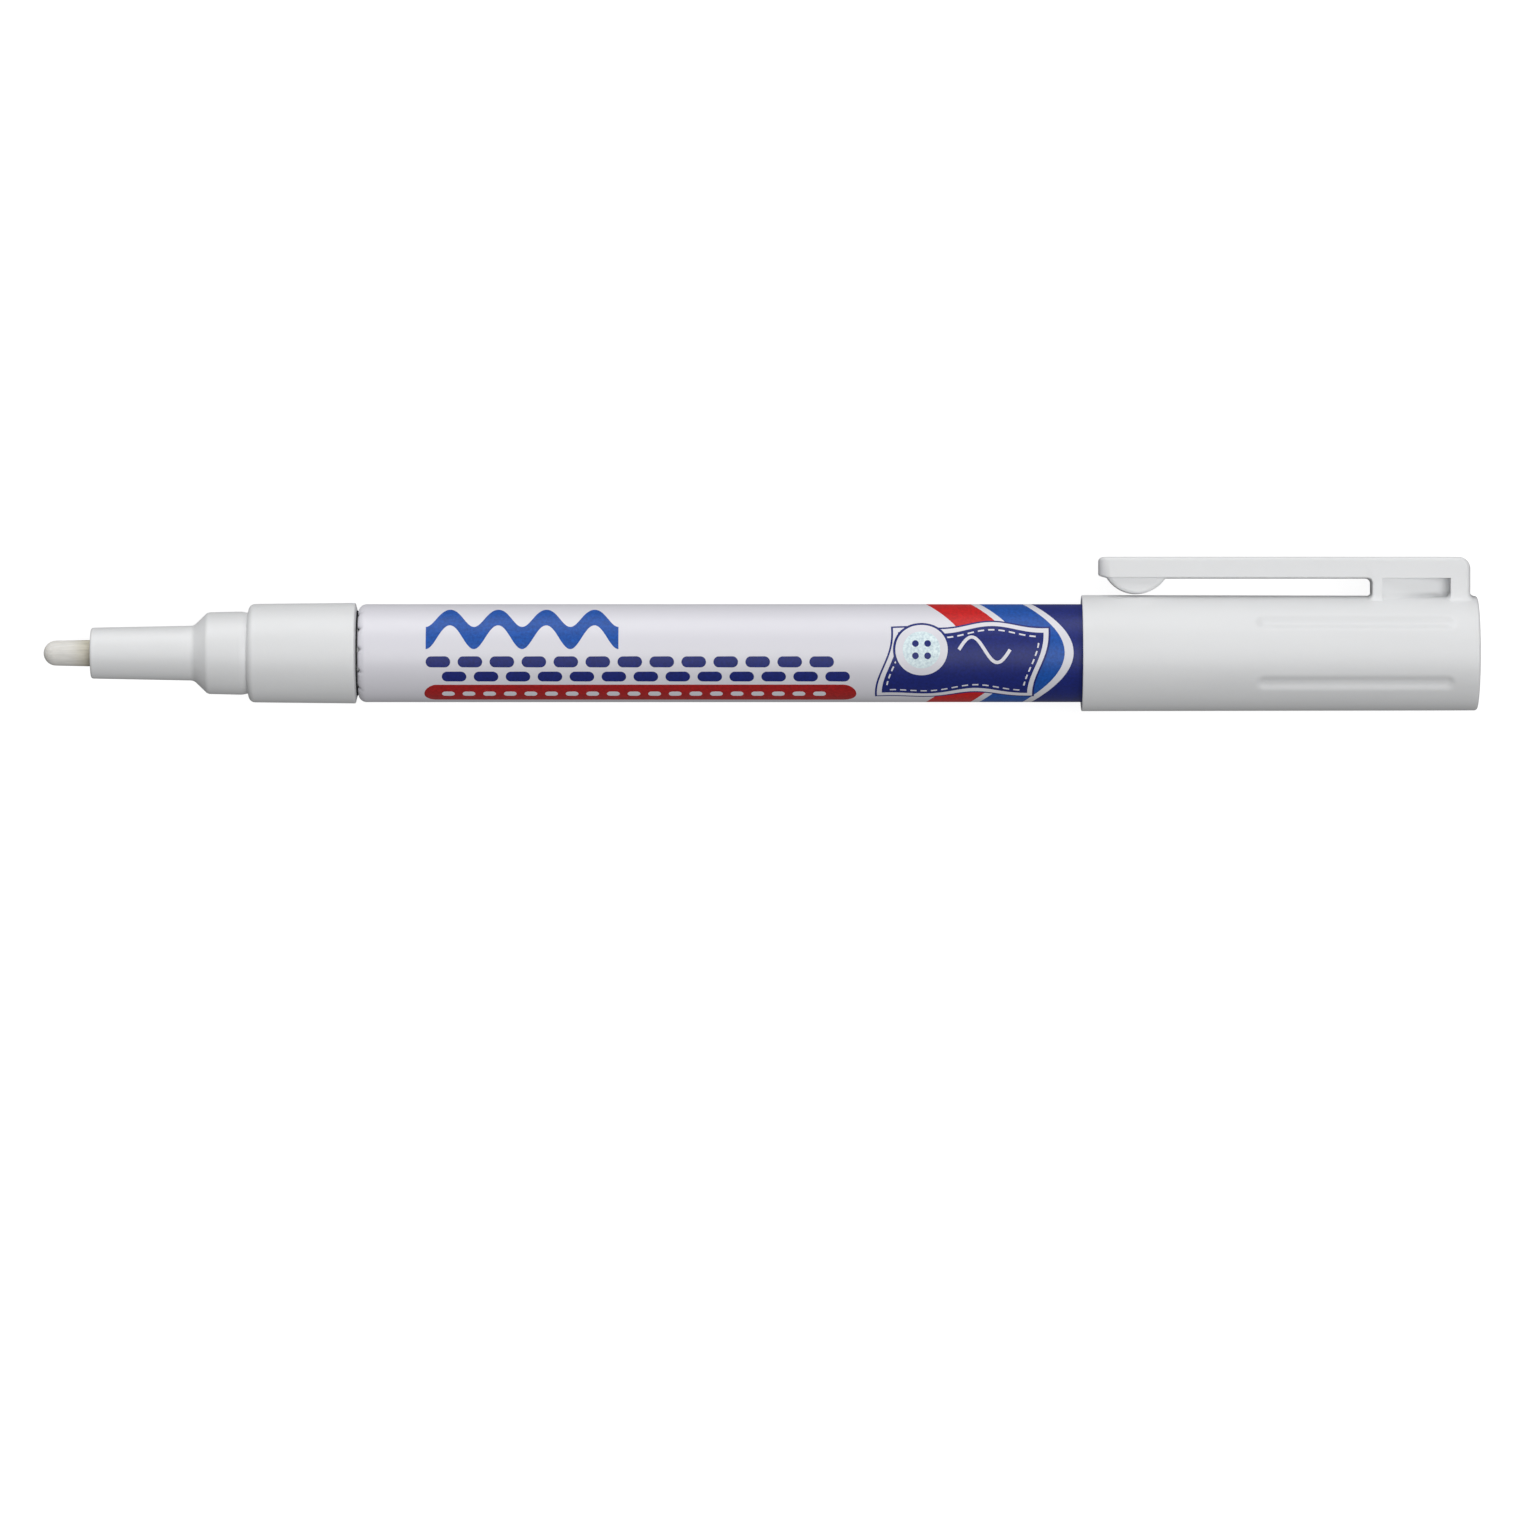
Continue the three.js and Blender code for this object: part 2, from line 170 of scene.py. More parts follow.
class BarrelSizes(bpy.types.PropertyGroup):
    wall: size("Wall", "Thickness of the drawn aluminium", 0.35)
    floor: size("Floor", "Thickness of the can's closed back", 0.5)
    shoulder: size("Shoulder", "Radius of the can's front and back edges", 0.8)
    dish_depth: size("Dish depth", "How far the can's back is pressed in", 0.3)
    dish_radius: size("Dish radius", "Radius of the pressed-in middle of the can's back", 3.4)
    crimp_depth: size("Crimp depth", "How deep the crimping jaws bite into the front edge", 0.26)
    crimps: count_of("Crimps", "Bites round the can's front edge", 13, least=0)
    crimp_turn: turn("Crimp turn", "How far the bites are turned from the middle of the print", 4)
    band_start: size("Band start", "From the can's front to the red band, at the sides", 57.9)
    first_keyline: size("First keyline", "From the can's front to the line between red and blue", 62.9)
    second_keyline: size("Second keyline", "From the can's front to the line before the navy", 68.2)
    keyline_width: size("Keyline width", "Width of the white lines between the bands", 0.9)
    band_bulge: size("Band bulge", "How far the bands reach back over the top of the can", 4.2)


class FrontSizes(bpy.types.PropertyGroup):
    nose_length: size("Nose length", "Length of the tube that guides the nib", 10.5)
    nose_radius: size("Nose radius", "Radius of the nose at its front", 2.6)
    nose_draft: size("Nose draft", "How much the nose widens to its back", 0.2)
    nose_edge: size("Nose edge", "Radius of the nose's front edge", 0.25)
    cone_length: size("Cone length", "Length of the cone behind the nose", 1.43)
    cone_hollow: size("Cone hollow", "Radius of the hollow between nose and cone", 0.3)
    cone_edge: size("Cone edge", "Radius of the edge at the cone's back", 0.22)
    land_length: size("Land length", "Length of the step that the cap seals on", 4.1)
    land_radius: size("Land radius", "Radius of that step at its back", 4.25)
    land_draft: size("Land draft", "How much the step narrows to its front", 0.08)
    collar_draft: size("Collar draft", "How much the collar narrows to its front", 0.11)
    collar_edge: size("Collar edge", "Radius of the collar's front edge", 0.5)
    collar_lean: size("Collar lean", "How far the collar's front face slopes", 0.2)
    notch: size("Notch", "Gap between the collar and the can, at its bottom", 0.16)
    notch_flare: size("Notch flare", "How much the gap widens to the outside", 0.15)
    notch_depth: size("Notch depth", "Depth over which the gap widens", 0.6)
    undercut_depth: size("Undercut depth", "Depth of the groove in front of the collar", 0.14)
    undercut_length: size("Undercut length", "Length of the groove in front of the collar", 0.55)
    chamber_radius: size("Chamber radius", "Bore that holds the valve", 3.0)
    chamber_wall: size("Chamber wall", "Plastic left in front of the valve chamber", 0.5)
    spigot_radius: size("Spigot radius", "Radius of the part that goes into the can", 3.95)
    nib_clearance: size("Nib clearance", "Gap round the nib in its bore", 0.1)


class NibSizes(bpy.types.PropertyGroup):
    tip_radius: size("Tip radius", "Radius of the rounded tip", 1.25)
    back_chamfer: size("Back chamfer", "Chamfer at the nib's inner end", 0.3)


class ValveSizes(bpy.types.PropertyGroup):
    seat_hole: size("Seat hole", "Radius of the hole in the seat ring", 1.3)
    sleeve_bore: size("Sleeve bore", "Radius of the bore in the valve's sleeve", 2.4)
    window_length: size("Window length", "Length of each ink window in the sleeve", 5.0)
    window_width: size("Window width", "Width of each ink window in the sleeve", 1.3)
    pin_radius: size("Pin radius", "Radius of the stem's pin", 1.0)
    head_radius: size("Head radius", "Radius of the stem's sealing head", 2.0)
    head_length: size("Head length", "Length of the stem's head behind its cone", 0.8)
    rod_radius: size("Rod radius", "Radius of the stem's guide rod", 0.8)
    wire_radius: size("Wire radius", "Radius of the spring's wire", 0.2)
    coil_radius: size("Coil radius", "Radius of the spring, to the middle of its wire", 1.6)
    coils: count_of("Coils", "Working turns of the spring", 5)
    plug_length: size("Plug length", "How far the retainer goes into the sleeve", 1.2)
    port_radius: size("Port radius", "Radius of the ink holes in the retainer", 0.4)


class CapSizes(bpy.types.PropertyGroup):
    wall: size("Wall", "Thickness of the cap's wall", 0.7)
    end_wall: size("End wall", "Thickness of the cap's closed end", 1.2)
    draft: size("Draft", "How much the cap narrows to its closed end", 0.075)
    end_edge: size("End edge", "Radius of the closed end's edge", 0.28)
    mouth_edge: size("Mouth edge", "Radius of the edge round the open mouth", 0.12)
    mouth_chamfer: size("Mouth chamfer", "Lead-in chamfer inside the mouth", 0.32)
    gate_radius: size("Gate radius", "Radius of the moulding gate's dimple in the end", 0.9)
    gate_depth: size("Gate depth", "Depth of that dimple", 0.12)
    flute_length: size("Flute length", "Length of each grip groove", 20.5)
    flute_width: size("Flute width", "Width of each grip groove", 1.9)
    flute_depth: size("Flute depth", "Depth of each grip groove", 0.28)
    flute_setback: size("Flute setback", "From the closed end to the grooves", 2.4)
    liner_bore: size("Liner bore", "Radius of the inner sleeve's bore", 4.35)
    rib_height: size("Rib height", "Height of the sealing ribs in the inner sleeve", 0.07)


class ClipSizes(bpy.types.PropertyGroup):
    thickness: size("Thickness", "Thickness of the clip's arm", 2.15)
    width: size("Width", "Width of the clip", 4.5)
    tip_corner: size("Tip corner", "Radius of the tip's corners, seen from outside", 1.2)
    heel: size("Heel", "How much the tip's front edge is lifted", 0.3)
    heel_length: size("Heel length", "Length of the lifted front edge", 1.1)
    root_corner: size("Root corner", "Radius of the corner over the cap's end", 1.2)
    rim: size("Rim", "Radius of the outer edges", 0.42)
    under_rim: size("Under rim", "Radius of the edges under the arm", 0.16)
    slot_corner: size("Slot corner", "Radius in the corners of the slot's closed end", 0.5)
    recess_start: size("Recess start", "From the root's front to the moulded recess", 1.0)
    recess_length: size("Recess length", "Length of the recess in each side of the root", 7.0)
    recess_shallow: size("Shallow end", "Depth of the recess at its front", 0.25)
    recess_deep: size("Deep end", "Depth of the recess at its back", 2.0)
    bump_place: size("Bump place", "From the cap's mouth to the middle of the bump", 5.6)
    bump_chord: size("Bump chord", "Length of the bump under the arm", 5.9)
    bump_gap: size("Bump gap", "Air left between the bump and the cap", 0.12)
    bump_width: size("Bump width", "Width of the bump", 3.5)
    bump_edge: size("Bump edge", "Radius of the bump's edges", 0.38)
    bend_length: size("Bend length", "Length of arm that bends when the clip opens", 6.0)


class PrintSizes(bpy.types.PropertyGroup):
    margin: size("Margin", "From the can's front to the printed design", 7.0)
    ribbon_up: size("Ribbon up", "From the middle of the can to the ribbon, round the can", 2.85)
    ribbon_length: size("Ribbon length", "Length of the wavy ribbon", 19.6)
    ribbon_height: size("Ribbon height", "Height of the ribbon's waves, ribbon included", 5.0)
    ribbon_width: size("Ribbon width", "Height of the ribbon itself, measured straight up", 2.4)
    ribbon_waves: count_of("Ribbon waves", "Waves in the ribbon", 4)
    line_length: size("Line length", "Length of the rows of stitches and of the red bar", 43.8)
    stitch_length: size("Stitch length", "Length of one printed stitch", 2.5)
    stitch_gap: size("Stitch gap", "Gap between two printed stitches", 0.75)
    stitch_height: size("Stitch height", "Height of one printed stitch", 1.15)
    bar_height: size("Bar height", "Height of the red bar", 2.75)
    bar_down: size("Bar down", "From the middle of the can down to the red bar, round the can", 4.9)
    first_row_down: size("First row down", "From the middle of the can to the first stitches", 0.95)
    second_row_down: size("Second row down", "From the middle of the can to the second stitches", 2.55)
    dash_length: size("Dash length", "Length of one white dash in the bar", 1.3)
    dash_pitch: size("Dash pitch", "From one dash in the bar to the next", 2.1)
    dash_height: size("Dash height", "Height of one dash in the bar", 0.75)
    cloth_length: size("Cloth length", "Length of the drawn cloth", 16.2)
    cloth_height: size("Cloth height", "Height of the drawn cloth", 8.2)
    cloth_slant: size("Cloth slant", "How far the cloth's top is pushed along the pen", 1.6)
    hem_width: size("Hem width", "Height of one stitch of the cloth's hem", 0.16)
    button_radius: size("Button radius", "Radius of the drawn button", 2.9)
    button_outline: size("Button outline", "Width of the button's outline", 0.24)
    button_rim: size("Button rim", "Width of the button's raised rim", 0.75)
    hole_radius: size("Hole radius", "Radius of each hole in the button", 0.34)
    hole_spread: size("Hole spread", "From the button's middle to the holes, along and across", 0.62)
    thread_width: size("Thread width", "Width of the drawn thread", 0.34)
    film: size("Film", "Thickness of one coat of ink", 0.01)


class Finishes(bpy.types.PropertyGroup):
    polypropylene: colour("Polypropylene", "White plastic of the cap, clip and front section", 0xE0E1E2)
    lacquer: colour("Lacquer", "White lacquer on the can", 0xDCDBE2)
    red: colour("Red ink", "Red band", 0xC40A0C)
    dark_red: colour("Dark red ink", "Red bar under the stitches", 0xA51214)
    blue: colour("Blue ink", "Blue band and ribbon", 0x094CA2)
    pale_blue: colour("Pale blue ink", "Dished middle of the drawn button", 0xD6ECF8)
    navy: colour("Navy ink", "Navy band, stitches and cloth", 0x101F6E)
    fibre: colour("Fibre", "Bonded fibre of the nib", 0xE3E1DC)
    fibre_base: colour("Fibre at the nose", "Fibre where it leaves the nose", 0xC2BDAD)
    rubber: colour("Rubber", "Gasket and valve seat", 0x1E1E22)
    acetal: colour("Acetal", "Moulded valve parts", 0xE9E9E4)
    polyethylene: colour("Polyethylene", "Inner sleeve of the cap", 0xDCDAD2)
    aluminium: colour("Aluminium", "Bare metal of the can", 0xC4C5C8)
    steel: colour("Steel", "Spring and mixing ball", 0xB9BBC0)
    floor: colour("Floor", "Paper that the pen lies on", 0xA6A6A6)


class StageSettings(bpy.types.PropertyGroup):
    camera_height: size("Camera height", "From the pen's axis up to the camera", 1000.0)
    camera_ahead: size("Camera ahead", "From the middle of the pen to the camera, along the pen", 0.28)
    camera_aside: size("Camera aside", "From the pen's axis to the camera, away from the clip", 11.22)
    view_width: size("View width", "Width of the picture at the pen's axis", 155.85)
    floor_size: size("Floor size", "Side of the square of paper", 6000.0)
    light_distance: size("Light distance", "From the pen to each soft light", 2000.0)
    key_size: size("Key size", "Side of the main light", 1500.0)
    key_tilt: turn("Key tilt", "How far the main light leans to the clip's side", 70)
    key_turn: turn("Key turn", "How far the main light leans to the cap's end", -14)
    key_power: power("Key power", "Power of the main light", 26.0)
    top_size: size("Top size", "Side of the overhead light", 1500.0)
    top_tilt: turn("Top tilt", "How far the overhead light leans to the clip's side", -5)
    top_turn: turn("Top turn", "How far the overhead light leans to the cap's end", 16)
    top_power: power("Top power", "Power of the overhead light", 24.0)
    ambient: strength("Ambient", "Strength of the pale surroundings", 0.22)
    floor_glow: strength("Floor glow", "Light from the backlit floor", 0.8)


class MarkerSettings(bpy.types.PropertyGroup):
    barrel: PointerProperty(type=BarrelSizes, name="Barrel", description="Sizes of the can and its bands")
    front: PointerProperty(type=FrontSizes, name="Front", description="Sizes of the front section")
    nib: PointerProperty(type=NibSizes, name="Nib", description="Sizes of the nib")
    valve: PointerProperty(type=ValveSizes, name="Valve", description="Sizes of the valve parts")
    cap: PointerProperty(type=CapSizes, name="Cap", description="Sizes of the cap")
    clip: PointerProperty(type=ClipSizes, name="Clip", description="Sizes of the clip")
    prints: PointerProperty(type=PrintSizes, name="Prints", description="Sizes of the printed design")
    finishes: PointerProperty(type=Finishes, name="Finishes", description="Colours of the materials")
    stage: PointerProperty(type=StageSettings, name="Stage", description="Floor, lights and camera")


def in_mm(group):
    """A group's settings as plain numbers, with its lengths in millimetres."""
    values = {}
    for setting in group.bl_rna.properties:
        if setting.identifier in {"rna_type", "name"}:
            continue
        value = getattr(group, setting.identifier)
        values[setting.identifier] = value / MM if setting.unit == "LENGTH" else value
    return SimpleNamespace(**values)


def settings(context, group):
    """One group of the scene's settings, in millimetres."""
    return in_mm(getattr(context.scene.fabric_marker, group))


def reach(node):
    """Where a CAD node starts and ends along the pen, and its radius, in millimetres."""
    low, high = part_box(node)
    return SimpleNamespace(
        front=(low.x - PEN_ORIGIN.x) / MM,
        back=(high.x - PEN_ORIGIN.x) / MM,
        radius=(high.z - low.z) / 2 / MM,
    )


# ---------------------------------------------------------------------------
# Shapes
# ---------------------------------------------------------------------------


def only(elements, kind):
    """The elements of one kind out of an operator's mixed result."""
    return [element for element in elements if isinstance(element, kind)]


def round_corner(bm, vert, radius):
    """Rounds one corner of a flat outline, with the given distance from the corner to each end."""
    steps = max(ARC_STEPS, math.ceil(8 * radius))
    bmesh.ops.bevel(
        bm,
        geom=[vert],
        offset=radius,
        offset_type="OFFSET",
        affect="VERTICES",
        segments=steps,
        profile=0.5,
        material=-1,
    )


def outline_face(corners):
    """A flat face from corners of (x, y, rounding)."""
    bm = bmesh.new()
    verts = [bm.verts.new((x, y, 0)) for x, y, _ in corners]
    bm.faces.new(verts)
    for vert, (_, _, rounding) in zip(verts, corners):
        if rounding > 0:
            round_corner(bm, vert, rounding)
    return bm


def turned(corners, steps=BODY_STEPS):
    """A round piece, from an outline of (along, radius, rounding) corners spun about the pen's axis."""
    bm = outline_face(corners)
    bmesh.ops.delete(bm, geom=bm.faces[:], context="FACES_ONLY")
    on_axis = [edge for edge in bm.edges if all(vert.co.y < TINY for vert in edge.verts)]
    bmesh.ops.delete(bm, geom=on_axis, context="EDGES")
    bmesh.ops.spin(
        bm,
        geom=bm.verts[:] + bm.edges[:],
        axis=PEN_AXIS,
        angle=math.tau,
        steps=steps,
        use_merge=True,
    )
    bmesh.ops.remove_doubles(bm, verts=bm.verts, dist=TINY)
    bmesh.ops.recalc_face_normals(bm, faces=bm.faces)
    return bm


def slab(corners, depth):
    """A flat outline in x and y made into a plate, centred on the pen's middle plane."""
    bm = outline_face(corners)
    grown = bmesh.ops.extrude_face_region(bm, geom=bm.faces[:], use_keep_orig=True)
    bmesh.ops.translate(bm, verts=only(grown["geom"], bmesh.types.BMVert), vec=(0, 0, depth))
    bmesh.ops.translate(bm, verts=bm.verts, vec=(0, 0, -depth / 2))
    bmesh.ops.recalc_face_normals(bm, faces=bm.faces)
    return bm


def block(low, high):
    """A box between two corners."""
    bm = bmesh.new()
    low, high = Vector(low), Vector(high)
    place = Matrix.Translation((low + high) / 2) @ Matrix.Diagonal((*(high - low), 1))
    bmesh.ops.create_cube(bm, size=1, matrix=place)
    return bm


def cut(bm, place, facing, faces=None):
    """Cuts faces along a plane, and keeps both sides."""
    faces = bm.faces[:] if faces is None else faces
    edges = {edge for face in faces for edge in face.edges}
    verts = {vert for face in faces for vert in face.verts}
    geom = [*verts, *edges, *faces]
    bmesh.ops.bisect_plane(bm, geom=geom, dist=TINY, plane_co=place, plane_no=facing)


def combine(bm, other, operation):
    """Joins, cuts or overlaps two closed shapes, and gives back the new shape."""
    objects = []
    for shape in (bm, other):
        mesh = bpy.data.meshes.new("shape")
        shape.to_mesh(mesh)
        shape.free()
        holder = bpy.data.objects.new("shape", mesh)
        bpy.context.scene.collection.objects.link(holder)
        objects.append(holder)
    boolean = objects[0].modifiers.new("combine", "BOOLEAN")
    boolean.operation = operation
    boolean.solver = "EXACT"
    boolean.object = objects[1]
    evaluated = objects[0].evaluated_get(bpy.context.evaluated_depsgraph_get())
    result = bpy.data.meshes.new_from_object(evaluated)
    made = bmesh.new()
    made.from_mesh(result)
    for holder in objects:
        bpy.data.meshes.remove(holder.data)
    bpy.data.meshes.remove(result)
    if not made.faces:
        raise RuntimeError(f"nothing is left after {operation.lower()}")
    return made


def round_edges(bm, edges, radius, steps=4):
    """Rounds sharp edges."""
    bmesh.ops.bevel(
        bm,
        geom=edges,
        offset=radius,
        offset_type="OFFSET",
        affect="EDGES",
        segments=steps,
        profile=0.5,
        material=-1,
        loop_slide=True,
    )


def smoothstep(low, high, value):
    """Rises smoothly from 0 at low to 1 at high."""
    share = min(max((value - low) / (high - low), 0.0), 1.0)
    return share * share * (3 - 2 * share)


def finish_piece(name, bm, materials, body=None, replaces=()):
    """Makes a shape into a finished piece in the frame, with named materials, on its body."""
    bm.transform(TO_FRAME)
    mesh = bpy.data.meshes.new(name)
    bm.to_mesh(mesh)
    bm.free()
    for material in materials:
        mesh.materials.append(material_of(material))
    mesh.shade_smooth()
    mesh.set_sharp_from_angle(angle=SMOOTH_ANGLE)
    piece = bpy.data.objects.new(name, mesh)
    bpy.context.scene.collection.objects.link(piece)
    weighted = piece.modifiers.new("Even shading", "WEIGHTED_NORMAL")
    weighted.keep_sharp = True
    if body:
        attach(piece, body)
    if replaces:
        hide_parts(*replaces)
    return piece


# ---------------------------------------------------------------------------
# Materials
# ---------------------------------------------------------------------------


def add(tree, kind, inputs=None, **options):
    """Adds a shader node with its options, and sets or links its inputs."""
    made = tree.nodes.new("ShaderNode" + kind)
    for option, value in options.items():
        setattr(made, option, value)
    for socket, value in (inputs or {}).items():
        if isinstance(value, bpy.types.NodeSocket):
            tree.links.new(value, made.inputs[socket])
        else:
            made.inputs[socket].default_value = value
    return made


def start_material(name):
    """A new, empty node material and its node tree."""
    material = bpy.data.materials.new(name)
    material.use_nodes = True
    material.node_tree.nodes.clear()
    return material, material.node_tree


def per_mm(millimetres):
    """The texture scale at which a pattern repeats about once in that many millimetres."""
    return 1 / (millimetres * MM)


def pattern(tree, millimetres, stretch=(1, 1, 1), detail=2.0, roughness=0.5):
    """Soft noise of a real size, which may be drawn out along an axis."""
    coordinates = add(tree, "TexCoord")
    mapping = add(
        tree,
        "Mapping",
        {"Vector": coordinates.outputs["Object"], "Scale": stretch},
        vector_type="POINT",
    )
    return add(
        tree,
        "TexNoise",
        {
            "Vector": mapping.outputs["Vector"],
            "Scale": per_mm(millimetres),
            "Detail": detail,
            "Roughness": roughness,
        },
    ).outputs["Fac"]


def between(tree, factor, low, high):
    """Turns a pattern from 0 to 1 into values between two numbers."""
    return add(
        tree,
        "MapRange",
        {"Value": factor, "From Min": 0.25, "From Max": 0.75, "To Min": low, "To Max": high},
    ).outputs["Result"]


def mix(tree, factor, low, high):
    """Blends two colours, which may be numbers or other nodes' outputs."""
    factor_in, first_colour_in, second_colour_in, colour_out = 0, 6, 7, 2
    made = add(
        tree,
        "Mix",
        {factor_in: factor, first_colour_in: low, second_colour_in: high},
        data_type="RGBA",
    )
    return made.outputs[colour_out]


def shade(tree, base, factor, dark, light):
    """A colour that a pattern makes a little darker and lighter."""
    low = [min(c * dark, 1.0) for c in base] + [1]
    high = [min(c * light, 1.0) for c in base] + [1]
    return mix(tree, between(tree, factor, 0, 1), low, high)


def relief(tree, factor, millimetres, strength=1.0):
    """Bump from a pattern, with its height in millimetres."""
    return add(
        tree,
        "Bump",
        {"Height": factor, "Distance": millimetres * MM, "Strength": strength},
    ).outputs["Normal"]


def surface(tree, inputs):
    """The shader and the output of a material."""
    shader = add(tree, "BsdfPrincipled", inputs)
    add(tree, "OutputMaterial", {"Surface": shader.outputs["BSDF"]})


def moulded_polypropylene(base):
    """Injection-moulded polypropylene from a satin mould: soft broad gloss, a slightly waxy depth,
    and faint flow marks drawn out along the pen."""
    material, tree = start_material("moulded_polypropylene")
    flow = pattern(tree, 4.0, stretch=(0.2, 1, 1))
    grain = pattern(tree, 0.22)
    surface(tree, {
        "Base Color": shade(tree, base, flow, 0.975, 1.015),
        "Roughness": between(tree, flow, 0.42, 0.52),
        "IOR": 1.49,
        "Subsurface Weight": 0.12,
        "Subsurface Radius": (1.0, 0.95, 0.85),
        "Subsurface Scale": 0.8 * MM,
        "Normal": relief(tree, grain, 0.004, 0.5),
    })
    return material


def roller_lacquer(base):
    """White stoving lacquer rolled onto aluminium: a cool white, smoother than the plastic, with the
    slight orange peel of a thick coat."""
    material, tree = start_material("roller_lacquer")
    cloud = pattern(tree, 6.0, stretch=(0.3, 1, 1))
    peel = pattern(tree, 0.9)
    surface(tree, {
        "Base Color": shade(tree, base, cloud, 0.985, 1.01),
        "Roughness": between(tree, peel, 0.36, 0.44),
        "IOR": 1.5,
        "Normal": relief(tree, peel, 0.003, 0.4),
    })
    return material


def printing_ink(name, base):
    """Ink printed over the lacquer: flat colour that is slightly mottled, because the ink lies
    unevenly. The mottling is drawn at 0.28 mm, coarser than real, so that it shows."""
    material, tree = start_material(name)
    mottle = pattern(tree, 0.28, detail=3.0, roughness=0.6)
    cloud = pattern(tree, 3.0)
    surface(tree, {
        "Base Color": shade(tree, base, mottle, 0.72, 1.3),
        "Roughness": between(tree, cloud, 0.42, 0.5),
        "IOR": 1.4,
        "Normal": relief(tree, mottle, 0.003, 0.4),
    })
    return material


def bonded_fibre(base, base_at_nose, nose_place):
    """Bonded acrylic fibre, ground to a bullet: dry and matt, with the fibres running along the nib,
    and a little darker and yellower where it leaves the nose."""
    material, tree = start_material("bonded_fibre")
    strands = pattern(tree, 0.16, stretch=(0.08, 1, 1), detail=3.0, roughness=0.65)
    coordinates = add(tree, "TexCoord")
    split = add(tree, "SeparateXYZ", {"Vector": coordinates.outputs["Object"]})
    towards_nose = add(
        tree,
        "MapRange",
        {
            "Value": split.outputs["X"],
            "From Min": nose_place - 2.6 * MM,
            "From Max": nose_place,
            "To Min": 0.0,
            "To Max": 1.0,
        },
        interpolation_type="SMOOTHSTEP",
    ).outputs["Result"]
    # Over the last 2.6 mm before the nose, the fibre's colour blends to a darker, yellower one.
    dry = shade(tree, base, strands, 0.84, 1.07)
    darker_near_nose = shade(tree, base_at_nose, strands, 0.82, 1.1)
    surface(tree, {
        "Base Color": mix(tree, towards_nose, dry, darker_near_nose),
        "Roughness": 0.85,
        "IOR": 1.45,
        "Subsurface Weight": 0.1,
        "Subsurface Radius": (1.0, 0.9, 0.7),
        "Subsurface Scale": 0.3 * MM,
        "Normal": relief(tree, strands, 0.03, 0.7),
    })
    return material


def moulded_rubber(base):
    """Moulded nitrile rubber: near-black and dull, with a fine bloom that greys it in patches."""
    material, tree = start_material("moulded_rubber")
    bloom = pattern(tree, 0.8, detail=3.0)
    surface(tree, {
        "Base Color": shade(tree, base, bloom, 0.8, 1.5),
        "Roughness": between(tree, bloom, 0.6, 0.8),
        "IOR": 1.52,
        "Normal": relief(tree, bloom, 0.01, 0.5),
    })
    return material


def moulded_acetal(base):
    """Moulded acetal: hard, slippery and slightly see-through at thin edges, with a low sheen."""
    material, tree = start_material("moulded_acetal")
    flow = pattern(tree, 1.5, stretch=(0.4, 1, 1))
    surface(tree, {
        "Base Color": shade(tree, base, flow, 0.97, 1.02),
        "Roughness": between(tree, flow, 0.28, 0.38),
        "IOR": 1.48,
        "Subsurface Weight": 0.15,
        "Subsurface Radius": (1.0, 1.0, 0.9),
        "Subsurface Scale": 0.6 * MM,
        "Normal": relief(tree, flow, 0.004, 0.4),
    })
    return material


def natural_polyethylene(base):
    """Unpigmented moulded polyethylene: milky and waxy, warmer than the white cap round it."""
    material, tree = start_material("natural_polyethylene")
    flow = pattern(tree, 2.5, stretch=(0.3, 1, 1))
    surface(tree, {
        "Base Color": shade(tree, base, flow, 0.95, 1.03),
        "Roughness": between(tree, flow, 0.4, 0.5),
        "IOR": 1.51,
        "Subsurface Weight": 0.35,
        "Subsurface Radius": (1.0, 0.95, 0.85),
        "Subsurface Scale": 1.2 * MM,
        "Normal": relief(tree, flow, 0.006, 0.5),
    })
    return material


def drawn_aluminium(base):
    """Bare impact-drawn aluminium: soft grey metal with fine marks left by the punch."""
    material, tree = start_material("drawn_aluminium")
    marks = pattern(tree, 0.3, stretch=(1, 0.15, 1), detail=4.0)
    surface(tree, {
        "Base Color": shade(tree, base, marks, 0.9, 1.05),
        "Metallic": 1.0,
        "Roughness": between(tree, marks, 0.3, 0.45),
        "Normal": relief(tree, marks, 0.004, 0.5),
    })
    return material


def polished_steel(base):
    """Stainless steel, drawn into wire or ground into a ball: bright, with a faint haze."""
    material, tree = start_material("polished_steel")
    haze = pattern(tree, 0.4, detail=3.0)
    surface(tree, {
        "Base Color": shade(tree, base, haze, 0.93, 1.04),
        "Metallic": 1.0,
        "Roughness": between(tree, haze, 0.14, 0.24),
        "Normal": relief(tree, haze, 0.001, 0.3),
    })
    return material


def stage_paper(base, glow):
    """Matt white background paper with light behind it, so that shadows on it stay faint."""
    material, tree = start_material("stage_paper")
    fibre = pattern(tree, 1.2, detail=3.0)
    surface(tree, {
        "Base Color": shade(tree, base, fibre, 0.99, 1.0),
        "Roughness": 0.95,
        "Specular IOR Level": 0.1,
        "Emission Color": (1, 1, 1, 1),
        "Emission Strength": glow,
    })
    return material


